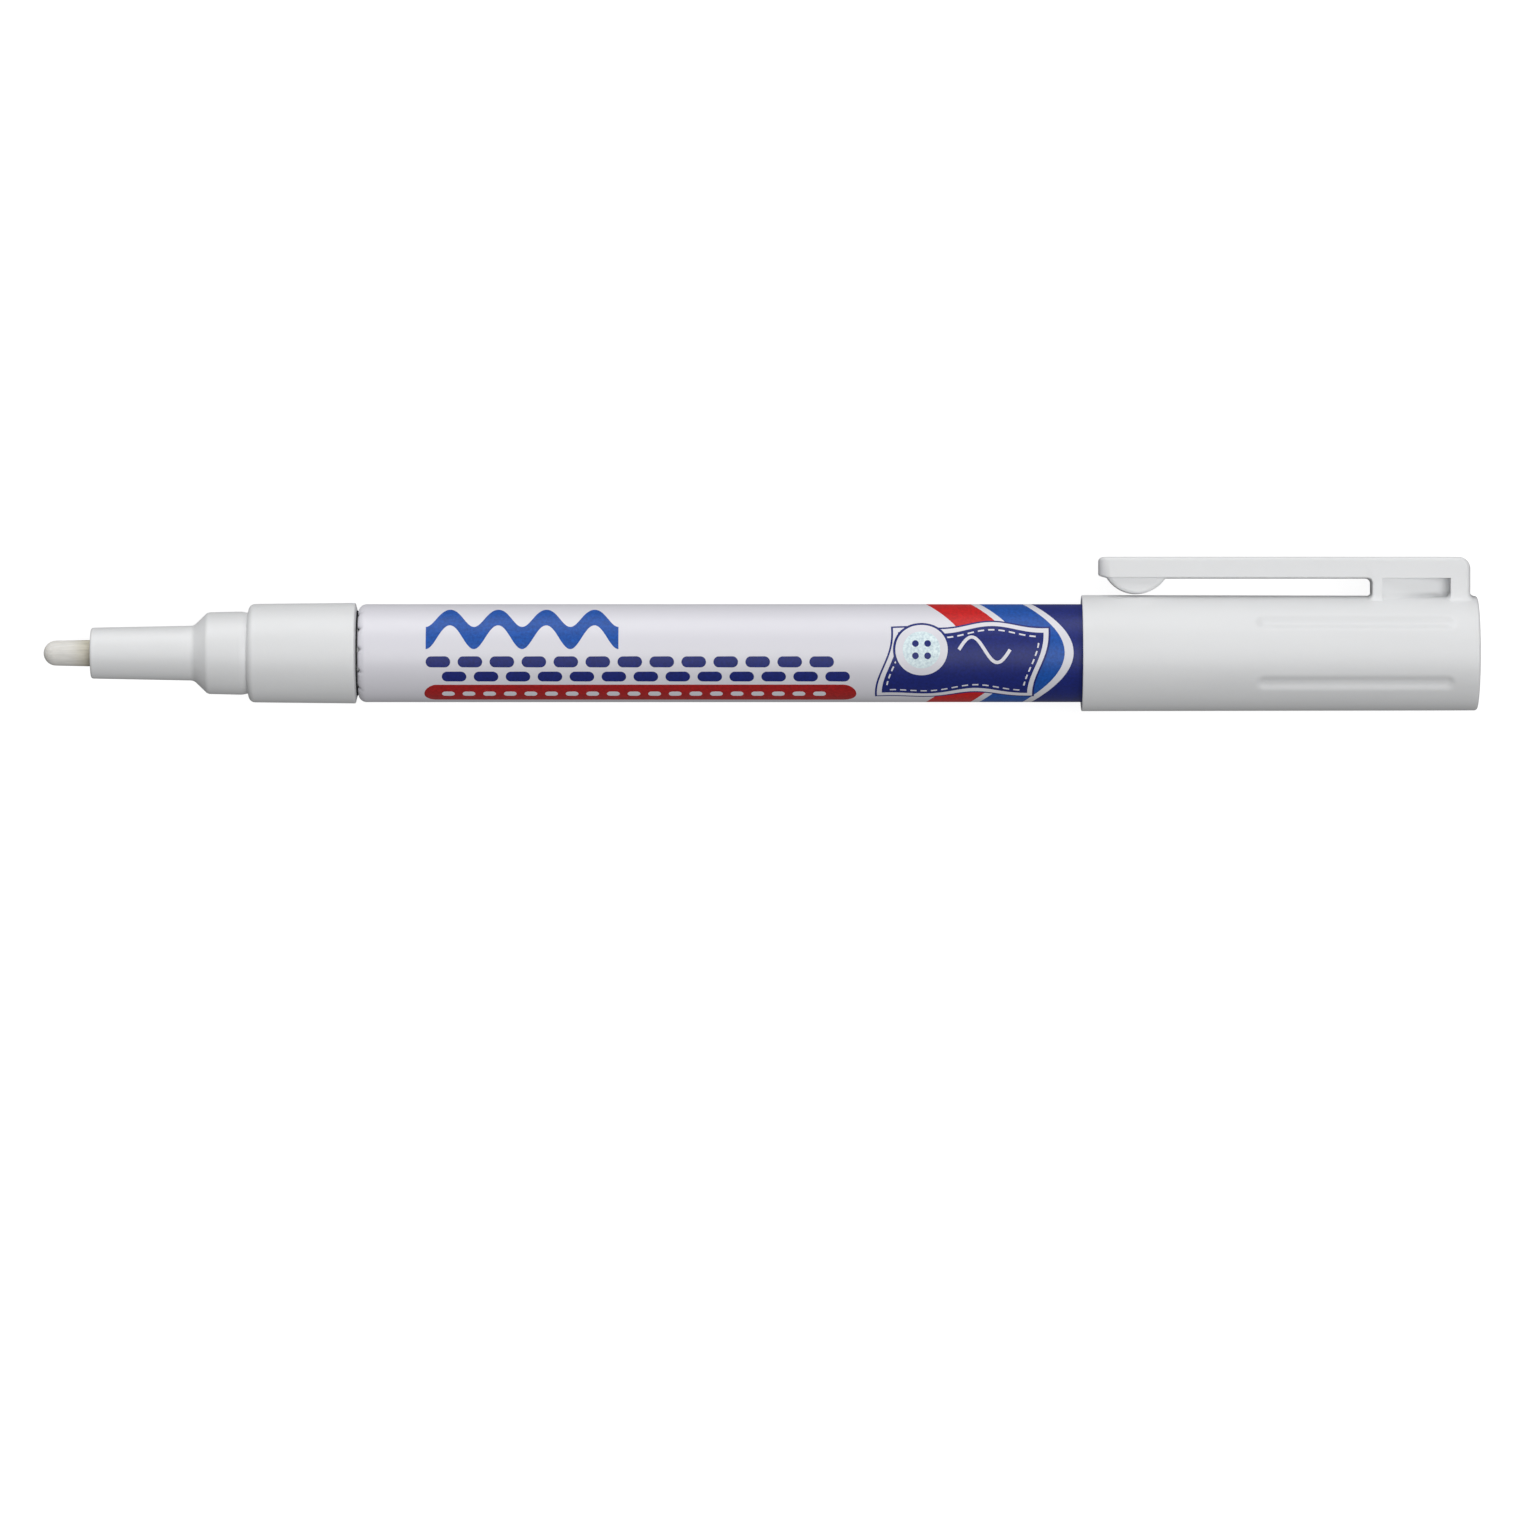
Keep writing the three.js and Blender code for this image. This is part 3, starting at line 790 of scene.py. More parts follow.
def material_of(name):
    """One of the pen's materials, made the first time it is asked for."""
    made = bpy.data.materials.get(name)
    if made:
        return made
    tint = bpy.context.scene.fabric_marker.finishes
    glow = bpy.context.scene.fabric_marker.stage.floor_glow
    nose_place = PEN_ORIGIN.x + reach("front_section").front * MM
    makers = {
        "moulded_polypropylene": lambda: moulded_polypropylene(tint.polypropylene),
        "roller_lacquer": lambda: roller_lacquer(tint.lacquer),
        "bonded_fibre": lambda: bonded_fibre(tint.fibre, tint.fibre_base, nose_place),
        "moulded_rubber": lambda: moulded_rubber(tint.rubber),
        "moulded_acetal": lambda: moulded_acetal(tint.acetal),
        "natural_polyethylene": lambda: natural_polyethylene(tint.polyethylene),
        "drawn_aluminium": lambda: drawn_aluminium(tint.aluminium),
        "polished_steel": lambda: polished_steel(tint.steel),
        "stage_paper": lambda: stage_paper(tint.floor, glow),
    }
    if name.endswith("_ink"):
        return printing_ink(name, getattr(tint, name.removesuffix("_ink")))
    return makers[name]()


# ---------------------------------------------------------------------------
# Pieces
# ---------------------------------------------------------------------------


class MARKER_OT_barrel(bpy.types.Operator):
    """Drawn aluminium can with its printed colour bands"""

    bl_idname = "marker.barrel"
    bl_label = "Barrel"

    def execute(self, context):
        sizes = settings(context, "barrel")
        can = reach("barrel_can")
        inner = can.radius - sizes.wall
        curl = 0.3
        mouth = reach("neck_seal").radius - curl
        floor = can.back - sizes.floor - sizes.dish_depth
        dish = sizes.dish_radius
        bm = turned([
            (can.front + sizes.wall, mouth, 0),
            (can.front, mouth, 0.1),
            (can.front, can.radius, sizes.shoulder),
            (can.back, can.radius, sizes.shoulder),
            (can.back, dish + 0.4, 0.2),
            (can.back - sizes.dish_depth, dish, 0.2),
            (can.back - sizes.dish_depth, 0, 0),
            (floor, 0, 0),
            (floor, inner, sizes.shoulder - sizes.wall),
            (can.front + sizes.wall, inner, sizes.shoulder - sizes.wall),
        ])
        self.crimp(bm, can, sizes)
        self.print_bands(bm, can, sizes)
        inks = ["roller_lacquer", "red_ink", "blue_ink", "navy_ink", "drawn_aluminium"]
        finish_piece("printed_can", bm, inks, "barrel", ["barrel_can"])
        return {"FINISHED"}

    @staticmethod
    def crimp(bm, can, sizes):
        """Bites of the crimping jaws in the can's front edge, where it is closed on the gasket."""
        reach_back = sizes.shoulder
        for vert in bm.verts:
            depth = vert.co.x - can.front
            if depth < reach_back and sizes.crimps:
                angle = math.atan2(vert.co.y, vert.co.z) - sizes.crimp_turn
                bite = max(0.0, math.cos(sizes.crimps * angle)) ** 5
                vert.co.x += sizes.crimp_depth * bite * (1 - depth / reach_back)

    @staticmethod
    def print_bands(bm, can, sizes):
        """Cuts the can's skin along curves that bulge back over its top, and inks the parts."""
        half = sizes.keyline_width / 2

        def swell(place):
            over_top = max(0.0, place.z / math.hypot(place.y, place.z))
            return sizes.band_bulge * over_top**2

        def shift(way):
            for vert in bm.verts:
                if math.hypot(vert.co.y, vert.co.z) > TINY:
                    vert.co.x += way * swell(vert.co)

        edges = [
            sizes.band_start,
            sizes.first_keyline - half,
            sizes.first_keyline + half,
            sizes.second_keyline - half,
            sizes.second_keyline + half,
        ]
        shift(-1)
        for edge in edges:
            cut(bm, (can.front + edge, 0, 0), PEN_AXIS)
        shift(1)
        printed_end = can.back - sizes.shoulder / 2
        cut(bm, (printed_end, 0, 0), PEN_AXIS)
        white, red, blue, navy, bare = range(5)
        order = [white, red, white, blue, white, navy]
        skin = can.radius - sizes.wall / 2
        for face in bm.faces:
            middle = face.calc_center_median()
            across = math.hypot(middle.y, middle.z)
            at_front = middle.x < can.front + sizes.shoulder
            if middle.x > printed_end or (across < skin and not at_front) or across < skin - 0.5:
                face.material_index = bare
                continue
            level = middle.x - can.front - swell(middle)
            face.material_index = order[sum(level > edge for edge in edges)]


class MARKER_OT_front(bpy.types.Operator):
    """Moulded front section with its nose, cone, sealing land and grip collar, and the gasket behind it"""

    bl_idname = "marker.front"
    bl_label = "Front section and gasket"

    def execute(self, context):
        sizes = settings(context, "front")
        part = reach("front_section")
        seal = reach("neck_seal")
        cone = part.front + sizes.nose_length
        land = cone + sizes.cone_length
        collar = land + sizes.land_length
        back = reach("barrel_can").front - sizes.notch
        chamber = land + sizes.chamber_wall
        bore = reach("nib").radius + sizes.nib_clearance
        seal_clearance = 0.1
        rebate = seal.radius + seal_clearance
        rebate_front = seal.front - seal_clearance
        nose_back = sizes.nose_radius + sizes.nose_draft
        bm = turned([
            (part.front, bore, 0.08),
            (part.front, sizes.nose_radius, sizes.nose_edge),
            (cone, nose_back, sizes.cone_hollow),
            (land, sizes.land_radius - sizes.land_draft, sizes.cone_edge),
            (collar - sizes.undercut_length, sizes.land_radius, 0.25),
            (collar, sizes.land_radius - sizes.undercut_depth, 0.12),
            (collar + sizes.collar_lean, part.radius - sizes.collar_draft, sizes.collar_edge),
            (back - sizes.notch_flare, part.radius, 0.1),
            (back, part.radius - sizes.notch_depth, 0),
            (back, rebate, 0),
            (rebate_front, rebate, 0),
            (rebate_front, sizes.spigot_radius, 0),
            (part.back, sizes.spigot_radius, 0.2),
            (part.back, sizes.chamber_radius, 0.1),
            (chamber, sizes.chamber_radius, 0.1),
            (chamber, bore, 0),
        ])
        plastic = ["moulded_polypropylene"]
        finish_piece("front_moulding", bm, plastic, "barrel", ["front_section"])
        ring_width, bulge, air = 0.3, 0.1, 0.02
        inner = seal.radius - ring_width
        gasket_back = reach("barrel_can").front - air
        gasket = turned([
            (seal.front, inner, bulge),
            (seal.front, seal.radius, bulge),
            (gasket_back, seal.radius, bulge),
            (gasket_back, inner, bulge),
        ])
        finish_piece("neck_gasket", gasket, ["moulded_rubber"], "barrel", ["neck_seal"])
        return {"FINISHED"}


class MARKER_OT_nib(bpy.types.Operator):
    """Bonded fibre nib with a bullet tip"""

    bl_idname = "marker.nib"
    bl_label = "Nib"

    def execute(self, context):
        sizes = settings(context, "nib")
        rod = reach("nib")
        nose = reach("front_section").front
        bm = turned([
            (0, 0, 0),
            (0, sizes.tip_radius, sizes.tip_radius * 0.999),
            (nose, rod.radius, 0),
            (rod.back, rod.radius, sizes.back_chamfer),
            (rod.back, 0, 0),
        ], INNER_STEPS)
        finish_piece("fibre_nib", bm, ["bonded_fibre"], "nib", ["nib"])
        return {"FINISHED"}


class MARKER_OT_valve(bpy.types.Operator):
    """Valve parts: seat washer, windowed sleeve, ported retainer, stem and return spring"""

    bl_idname = "marker.valve"
    bl_label = "Valve"

    def execute(self, context):
        sizes = settings(context, "valve")
        self.make_seat(sizes)
        self.make_sleeve(sizes)
        self.make_retainer(sizes)
        self.make_stem(sizes)
        self.make_spring(sizes)
        return {"FINISHED"}

    @staticmethod
    def make_seat(sizes):
        seat = reach("valve_seat_ring")
        edge = 0.12
        bm = turned([
            (seat.front, sizes.seat_hole, edge),
            (seat.front, seat.radius, edge),
            (seat.back, seat.radius, edge),
            (seat.back, sizes.seat_hole, edge),
        ], INNER_STEPS)
        finish_piece("seat_washer", bm, ["moulded_rubber"], "barrel", ["valve_seat_ring"])

    @staticmethod
    def make_sleeve(sizes):
        sleeve = reach("valve_housing")
        bm = turned([
            (sleeve.front, sizes.sleeve_bore, 0.05),
            (sleeve.front, sleeve.radius, 0.15),
            (sleeve.back, sleeve.radius, 0.15),
            (sleeve.back, sizes.sleeve_bore, 0.1),
        ], INNER_STEPS)
        middle = (sleeve.front + sleeve.back) / 2
        half = sizes.window_length / 2
        side = sizes.window_width / 2
        for quarter in range(4):
            window = block((middle - half, 0, -side), (middle + half, 2 * sleeve.radius, side))
            upright = [edge for edge in window.edges if edge.verts[0].co.x == edge.verts[1].co.x
                       and abs(edge.verts[0].co.y - edge.verts[1].co.y) > 1]
            round_edges(window, upright, side * 0.6)
            window.transform(Matrix.Rotation(quarter * math.pi / 2, 4, "X"))
            bm = combine(bm, window, "DIFFERENCE")
        finish_piece("windowed_sleeve", bm, ["moulded_acetal"], "barrel", ["valve_housing"])

    @staticmethod
    def make_retainer(sizes):
        part = reach("spring_retainer")
        clearance = 0.1
        plug = sizes.sleeve_bore - clearance
        flange = part.front + sizes.plug_length + clearance
        bore = sizes.rod_radius + clearance
        bm = turned([
            (part.front, bore, 0.05),
            (part.front, plug, 0.15),
            (flange, plug, 0),
            (flange, part.radius, 0.08),
            (part.back, part.radius, 0.15),
            (part.back, bore, 0.05),
        ], INNER_STEPS)
        long = 3 * (part.back - part.front)
        middle = (part.front + part.back) / 2
        place = Matrix.Translation((middle, (bore + plug) / 2, 0)) @ Matrix.Rotation(math.pi / 2, 4, "Y")
        for quarter in range(4):
            port = bmesh.new()
            bmesh.ops.create_cone(
                port,
                cap_ends=True,
                segments=24,
                radius1=sizes.port_radius,
                radius2=sizes.port_radius,
                depth=long,
                matrix=place,
            )
            port.transform(Matrix.Rotation(quarter * math.pi / 2, 4, "X"))
            bm = combine(bm, port, "DIFFERENCE")
        bmesh.ops.dissolve_degenerate(bm, dist=0.001, edges=bm.edges)
        finish_piece("ported_retainer", bm, ["moulded_acetal"], "barrel", ["spring_retainer"])

    @staticmethod
    def make_stem(sizes):
        stem = reach("valve_stem")
        spring = reach("valve_spring")
        spring_clearance = 0.1
        head_back = spring.front - spring_clearance
        head_front = head_back - sizes.head_length
        cone_front = head_front - (sizes.head_radius - sizes.pin_radius)
        bm = turned([
            (stem.front, 0, 0),
            (stem.front, sizes.pin_radius, 0.15),
            (cone_front, sizes.pin_radius, 0.05),
            (head_front, sizes.head_radius, 0.1),
            (head_back, sizes.head_radius, 0.1),
            (head_back, sizes.rod_radius, 0.1),
            (stem.back, sizes.rod_radius, 0.25),
            (stem.back, 0, 0),
        ], INNER_STEPS)
        finish_piece("stem_moulding", bm, ["moulded_acetal"], "valve_stem", ["valve_stem"])

    @staticmethod
    def make_spring(sizes):
        """A coil with a closed turn at each end."""
        spring = reach("valve_spring")
        wire = sizes.wire_radius
        steps = 36
        closed = 2.1 * wire
        working = (spring.back - spring.front - 2 * wire - 2 * closed) / sizes.coils
        bm = bmesh.new()
        section = bmesh.ops.create_circle(bm, cap_ends=True, segments=12, radius=wire)["verts"]
        bmesh.ops.translate(bm, verts=section, vec=(spring.front + wire, sizes.coil_radius, 0))
        grown = section[0].link_faces[:] + list(section) + list(section[0].link_faces[0].edges)
        for turns, pitch in ((1, closed), (sizes.coils, working), (1, closed)):
            spun = bmesh.ops.spin(
                bm,
                geom=grown,
                axis=PEN_AXIS,
                dvec=(pitch / steps, 0, 0),
                angle=math.tau * turns,
                steps=steps * turns,
            )
            grown = spun["geom_last"]
        bmesh.ops.remove_doubles(bm, verts=bm.verts, dist=TINY)
        bmesh.ops.recalc_face_normals(bm, faces=bm.faces)
        steel = ["polished_steel"]
        piece = finish_piece("return_spring", bm, steel, "barrel", ["valve_spring"])
        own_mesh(piece)


def frame_joint(name):
    """The record's entry for a joint."""
    return next(joint for joint in frame["joints"] if joint["name"] == name)


class MARKER_OT_ball(bpy.types.Operator):
    """Ground steel ball that stirs the ink in the can"""

    bl_idname = "marker.ball"
    bl_label = "Mixing ball"

    def execute(self, context):
        low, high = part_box("mixing_ball")
        middle = ((low + high) / 2 - PEN_ORIGIN) / MM
        radius = (high.x - low.x) / 2 / MM
        bm = bmesh.new()
        bmesh.ops.create_icosphere(bm, subdivisions=5, radius=radius, matrix=Matrix.Translation(middle))
        finish_piece("steel_ball", bm, ["polished_steel"], "mixing_ball", ["mixing_ball"])
        return {"FINISHED"}


class MARKER_OT_cap(bpy.types.Operator):
    """Moulded cap with four long grip grooves, and the sleeve inside it"""

    bl_idname = "marker.cap"
    bl_label = "Cap and inner sleeve"

    flute_angles = (58, 122, 238, 302)

    def execute(self, context):
        sizes = settings(context, "cap")
        cap = reach("cap_shell")
        self.make_tube(cap, sizes)
        self.make_sleeve(sizes)
        return {"FINISHED"}

    def make_tube(self, cap, sizes):
        bore = cap.radius - sizes.wall
        slope = sizes.draft / (cap.back - cap.front)
        flute_back = cap.back - sizes.flute_setback
        flute_front = flute_back - sizes.flute_length
        ring_gap = 0.2
        rings = int((sizes.flute_length + 2) / ring_gap)
        places = [flute_front - 1 + ring_gap * step for step in range(rings + 1)]
        places = [place for place in places if place < cap.back - sizes.end_edge - ring_gap]
        end_radius = cap.radius - sizes.draft
        bm = turned([
            (cap.front, cap.radius, sizes.mouth_edge),
            *((place, cap.radius - slope * (place - cap.front), 0) for place in places),
            (cap.back, end_radius, sizes.end_edge),
            (cap.back, sizes.gate_radius, 0.08),
            (cap.back - sizes.gate_depth, sizes.gate_radius - 0.1, 0.05),
            (cap.back - sizes.gate_depth, 0, 0),
            (cap.back - sizes.end_wall, 0, 0),
            (cap.back - sizes.end_wall, bore - sizes.draft, 0.3),
            (cap.front + sizes.mouth_chamfer, bore, 0),
            (cap.front, bore + sizes.mouth_chamfer, 0.05),
        ])
        half = sizes.flute_width / 2
        core = (flute_front + half, flute_back - half)
        flat_share = 0.1
        floor_half = flat_share * half
        for vert in bm.verts:
            across = math.hypot(vert.co.y, vert.co.z)
            beyond = max(core[0] - vert.co.x, vert.co.x - core[1], 0.0)
            if across < cap.radius - sizes.wall / 2 or beyond > half:
                continue
            angle = math.degrees(math.atan2(vert.co.z, vert.co.y)) % 360
            for flute in self.flute_angles:
                aside = math.radians(angle - flute) * across
                distance = math.hypot(beyond, aside)
                depth = sizes.flute_depth * (1 - smoothstep(floor_half, half, distance))
                if depth > 0:
                    vert.co.yz = vert.co.yz * ((across - depth) / across)
        finish_piece("cap_tube", bm, ["moulded_polypropylene"], "cap", ["cap_shell"])

    @staticmethod
    def make_sleeve(sizes):
        """Sleeve that closes on the front section, with two soft ribs in its bore."""
        liner = reach("cap_liner")
        bore = sizes.liner_bore
        ribs = []
        rib_half, lead_in = 0.35, 0.3
        for rib_place in (3.6, 1.8):
            place = liner.front + rib_place
            ribs += [
                (place + rib_half, bore, 0.1),
                (place, bore - sizes.rib_height, 0.15),
                (place - rib_half, bore, 0.1),
            ]
        bm = turned([
            (liner.front, liner.radius, 0.15),
            (liner.back, liner.radius, 0.1),
            (liner.back, bore, 0.1),
            *ribs,
            (liner.front + lead_in, bore, 0),
            (liner.front, bore + lead_in, 0.05),
        ])
        milky = ["natural_polyethylene"]
        finish_piece("liner_sleeve", bm, milky, "cap", ["cap_liner"])


class MARKER_OT_clip(bpy.types.Operator):
    """Clip moulded with the cap: sprung arm with a bump, on a relieved root"""

    bl_idname = "marker.clip"
    bl_label = "Clip"

    def execute(self, context):
        sizes = settings(context, "clip")
        cap = reach("cap_shell")
        low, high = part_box("clip")
        top = (high.y - PEN_ORIGIN.y) / MM
        under = top - sizes.thickness
        tip = (low.x - PEN_ORIGIN.x) / MM
        root = (frame_joint("clip_flex")["pos_m"][0] - PEN_ORIGIN.x) / MM
        end_step, sunk = 0.8, 0.6
        end = cap.back - end_step
        foot = cap.radius - sunk
        half = sizes.width / 2
        bm = slab([
            (tip, top, 0),
            (end, top, sizes.root_corner),
            (end, foot, 0),
            (root, foot, 0),
            (root, under, sizes.slot_corner),
            (tip + sizes.heel_length, under, 0.2),
            (tip, under + sizes.heel, 0),
        ], sizes.width)
        plan = slab([
            (tip, half, sizes.tip_corner),
            (end + 5, half, 0),
            (end + 5, -half, 0),
            (tip, -half, sizes.tip_corner),
        ], 4 * top)
        plan.transform(Matrix.Rotation(math.pi / 2, 4, "X"))
        bm = combine(bm, plan, "INTERSECT")
        self.round_rims(bm, sizes, top, under, end, foot)
        bm = self.cut_recesses(bm, sizes, root, under, half)
        self.flare_foot(bm, sizes, cap, root, foot)
        bm = self.add_bump(bm, sizes, cap, under)
        step = 0.4
        for place in range(int((sizes.bend_length + 1) / step) + 1):
            across = [f for f in bm.faces if min(v.co.x for v in f.verts) < root]
            cut(bm, (root - step * place, 0, 0), PEN_AXIS, across)
        bmesh.ops.remove_doubles(bm, verts=bm.verts, dist=TINY)
        bmesh.ops.recalc_face_normals(bm, faces=bm.faces)
        plastic = ["moulded_polypropylene"]
        piece = finish_piece("clip_moulding", bm, plastic, replaces=["clip"])
        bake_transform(piece)
        return {"FINISHED"}

    @staticmethod
    def round_rims(bm, sizes, top, under, end, foot):
        """Rounds the outer rim, which runs over the root's corner, and more finely the edges beneath."""
        bm.normal_update()

        def sharp(edge):
            return len(edge.link_faces) == 2 and edge.calc_face_angle() > math.radians(50)

        def middle(edge):
            return (edge.verts[0].co + edge.verts[1].co) / 2

        outer = []
        inner = []
        for edge in bm.edges:
            if not sharp(edge):
                continue
            place = middle(edge)
            if place.y < foot + TINY:
                continue
            if place.y > top - sizes.root_corner - TINY and place.y > under + sizes.heel + 0.1:
                if place.y > top - TINY or place.x > end - sizes.root_corner - TINY:
                    outer.append(edge)
            elif place.x > end - TINY:
                outer.append(edge)
            else:
                inner.append(edge)
        round_edges(bm, outer, sizes.rim, 5)
        still_there = [edge for edge in inner if edge.is_valid]
        round_edges(bm, still_there, sizes.under_rim, 3)

    @staticmethod
    def cut_recesses(bm, sizes, root, under, half):
        """Takes a recess out of each side of the root, deeper towards the cap's end."""
        front = root + sizes.recess_start
        back = front + sizes.recess_length
        for side in (1, -1):
            pocket = block((front, 0, 0), (back, under, 2 * half))
            for vert in pocket.verts:
                if vert.co.z < TINY:
                    at_back = vert.co.x > (front + back) / 2
                    depth = sizes.recess_deep if at_back else sizes.recess_shallow
                    vert.co.z = half - depth
            if side < 0:
                pocket.transform(Matrix.Diagonal((1, 1, -1, 1)))
                bmesh.ops.reverse_faces(pocket, faces=pocket.faces)
            bm = combine(bm, pocket, "DIFFERENCE")
        return bm

    @staticmethod
    def flare_foot(bm, sizes, cap, root, foot):
        """Spreads the root's foot onto the tube in a fillet, so that the two read as one moulding."""
        spread = sizes.slot_corner
        sunk, level_step, across_step, fillet_zone = 0.06, 0.12, 0.5, 1.4
        surface_radius = cap.radius - sunk
        levels = [foot + level_step * step for step in range(1, 11)]
        for level in levels:
            low_faces = [f for f in bm.faces if f.calc_center_median().x > root - 1
                         and min(v.co.y for v in f.verts) < level]
            cut(bm, (0, level, 0), (0, 1, 0), low_faces)
        for step in range(-4, 5):
            low_faces = [f for f in bm.faces if f.calc_center_median().y < foot + fillet_zone
                         and f.calc_center_median().x > root - 1]
            cut(bm, (0, 0, across_step * step), (0, 0, 1), low_faces)
        bm.normal_update()
        moves = {}
        for vert in bm.verts:
            if vert.co.x < root - 1 or vert.co.y > foot + 2:
                continue
            height = vert.co.y - math.sqrt(surface_radius**2 - vert.co.z**2)
            if height >= spread:
                continue
            outward = Vector((0, 0, 0))
            for face in vert.link_faces:
                if abs(face.normal.y) < 0.5:
                    outward += Vector((face.normal.x, 0, face.normal.z)) * face.calc_area()
            if outward.length < TINY:
                continue
            outward.normalize()
            drop = min(spread - height, spread)
            aside = spread - math.sqrt(max(spread**2 - drop**2, 0))
            place = vert.co + outward * aside
            place.y = math.sqrt(surface_radius**2 - place.z**2) + height
            moves[vert] = place
        for vert, place in moves.items():
            vert.co = place

    @staticmethod
    def add_bump(bm, sizes, cap, under):
        """Joins on the round bump that presses on cloth or a pocket's edge."""
        depth = under - cap.radius - sizes.bump_gap
        chord = sizes.bump_chord / 2
        radius = (chord**2 + depth**2) / (2 * depth)
        place = Vector((cap.front + sizes.bump_place, under - depth + radius, 0))
        disc = bmesh.new()
        bmesh.ops.create_cone(
            disc,
            cap_ends=True,
            segments=160,
            radius1=radius,
            radius2=radius,
            depth=sizes.bump_width,
            matrix=Matrix.Translation(place),
        )
        rims = [edge for edge in disc.edges if abs(edge.verts[0].co.z - edge.verts[1].co.z) < TINY]
        round_edges(disc, rims, sizes.bump_edge, 5)
        geom = disc.verts[:] + disc.edges[:] + disc.faces[:]
        trimmed = bmesh.ops.bisect_plane(
            disc,
            geom=geom,
            dist=TINY,
            plane_co=(0, under + 0.6, 0),
            plane_no=(0, 1, 0),
            clear_outer=True,
        )
        bmesh.ops.contextual_create(disc, geom=only(trimmed["geom_cut"], bmesh.types.BMEdge))
        bmesh.ops.recalc_face_normals(disc, faces=disc.faces)
        return combine(bm, disc, "UNION")


class MARKER_OT_prints(bpy.types.Operator):
    """Printed design on the can: ribbon, stitches, red bar, and a button on a piece of cloth"""

    bl_idname = "marker.prints"
    bl_label = "Printed design"

    def execute(self, context):
        sizes = settings(context, "prints")
        self.make_ribbon(sizes)
        self.make_stitches(sizes)
        self.make_bar(sizes)
        self.make_cloth(sizes)
        self.make_pictogram(sizes)
        return {"FINISHED"}

    def make_ribbon(self, sizes):
        """Wavy trimming ribbon, as tall as the design's heading."""
        bm = bmesh.new()
        swing = (sizes.ribbon_height - sizes.ribbon_width) / 2
        bmesh.ops.create_grid(bm, x_segments=32 * sizes.ribbon_waves, y_segments=1, size=0.5)
        for vert in bm.verts:
            share = vert.co.x + 0.5
            wave = swing * math.cos(share * math.tau * sizes.ribbon_waves)
            up = sizes.ribbon_up - wave + vert.co.y * sizes.ribbon_width
            vert.co = (sizes.margin + share * sizes.ribbon_length, up, 0)
        print_film("printed_ribbon", bm, ["blue_ink"], sizes.film)

    def make_stitches(self, sizes):
        """Two rows of stitches, half a stitch out of step."""
        bm = bmesh.new()
        pitch = sizes.stitch_length + sizes.stitch_gap
        for row, middle in enumerate((-sizes.first_row_down, -sizes.second_row_down)):
            place = sizes.margin + row * pitch / 2
            while place + sizes.stitch_length <= sizes.margin + sizes.line_length:
                pill(bm, place, place + sizes.stitch_length, middle, sizes.stitch_height)
                place += pitch
        print_film("printed_stitches", bm, ["navy_ink"], sizes.film)

    def make_bar(self, sizes):
        """Red bar with round ends, and white dashes along its middle."""
        middle = -sizes.bar_down
        overhang = 0.2
        bare_start, bare_end = 1.6, 2.6
        bm = bmesh.new()
        pill(bm, sizes.margin - overhang, sizes.margin + sizes.line_length, middle, sizes.bar_height)
        print_film("printed_bar", bm, ["dark_red_ink"], sizes.film)
        dashes = bmesh.new()
        place = sizes.margin + bare_start
        while place < sizes.margin + sizes.line_length - bare_end:
            pill(dashes, place, place + sizes.dash_length, middle, sizes.dash_height)
            place += sizes.dash_pitch
        print_film("printed_dashes", dashes, ["roller_lacquer"], sizes.film, layer=1)

    def make_cloth(self, sizes):
        """A square of navy cloth with waving edges, a white border and a stitched hem."""
        length, height = sizes.cloth_length, sizes.cloth_height
        middle = Vector((61.6, -1.1, 0))
        long_wave, short_wave, side_wave = 0.35, 0.2, 0.3

        def place(u, w):
            wave = long_wave * math.sin(math.tau * (u + 0.1)) + short_wave * math.sin(math.tau * 2 * u)
            lean = sizes.cloth_slant * w + side_wave * math.sin(math.tau * w)
            return middle + Vector((length * u + lean, height * w + wave, 0))

        coats = (
            ("printed_cloth_outline", "navy_ink", 0.0),
            ("printed_cloth_border", "roller_lacquer", 0.2),
            ("printed_cloth", "navy_ink", 0.7),
        )
        for layer, (name, ink, inset) in enumerate(coats):
            bm = bmesh.new()
            bmesh.ops.create_grid(bm, x_segments=48, y_segments=24, size=0.5)
            for vert in bm.verts:
                along = vert.co.x * (1 - 2 * inset / length)
                across = vert.co.y * (1 - 2 * inset / height)
                vert.co = place(along, across)
            print_film(name, bm, [ink], sizes.film, layer=layer)
        hem = bmesh.new()
        for u0, w0, u1, w1, count in (
            (-0.42, 0.36, 0.42, 0.36, 13),
            (-0.42, -0.36, 0.42, -0.36, 13),
            (-0.43, -0.3, -0.43, 0.3, 6),
            (0.43, -0.3, 0.43, 0.3, 6),
        ):
            for index in range(count):
                first, last = (index + 0.2) / count, (index + 0.8) / count

                def path(share, a=(u0, w0), b=(u1, w1), lo=first, hi=last):
                    at = lo + (hi - lo) * share
                    return place(a[0] + (b[0] - a[0]) * at, a[1] + (b[1] - a[1]) * at)

                stroke(hem, path, sizes.hem_width, 4)
        print_film("printed_hem", hem, ["roller_lacquer"], sizes.film, layer=3)

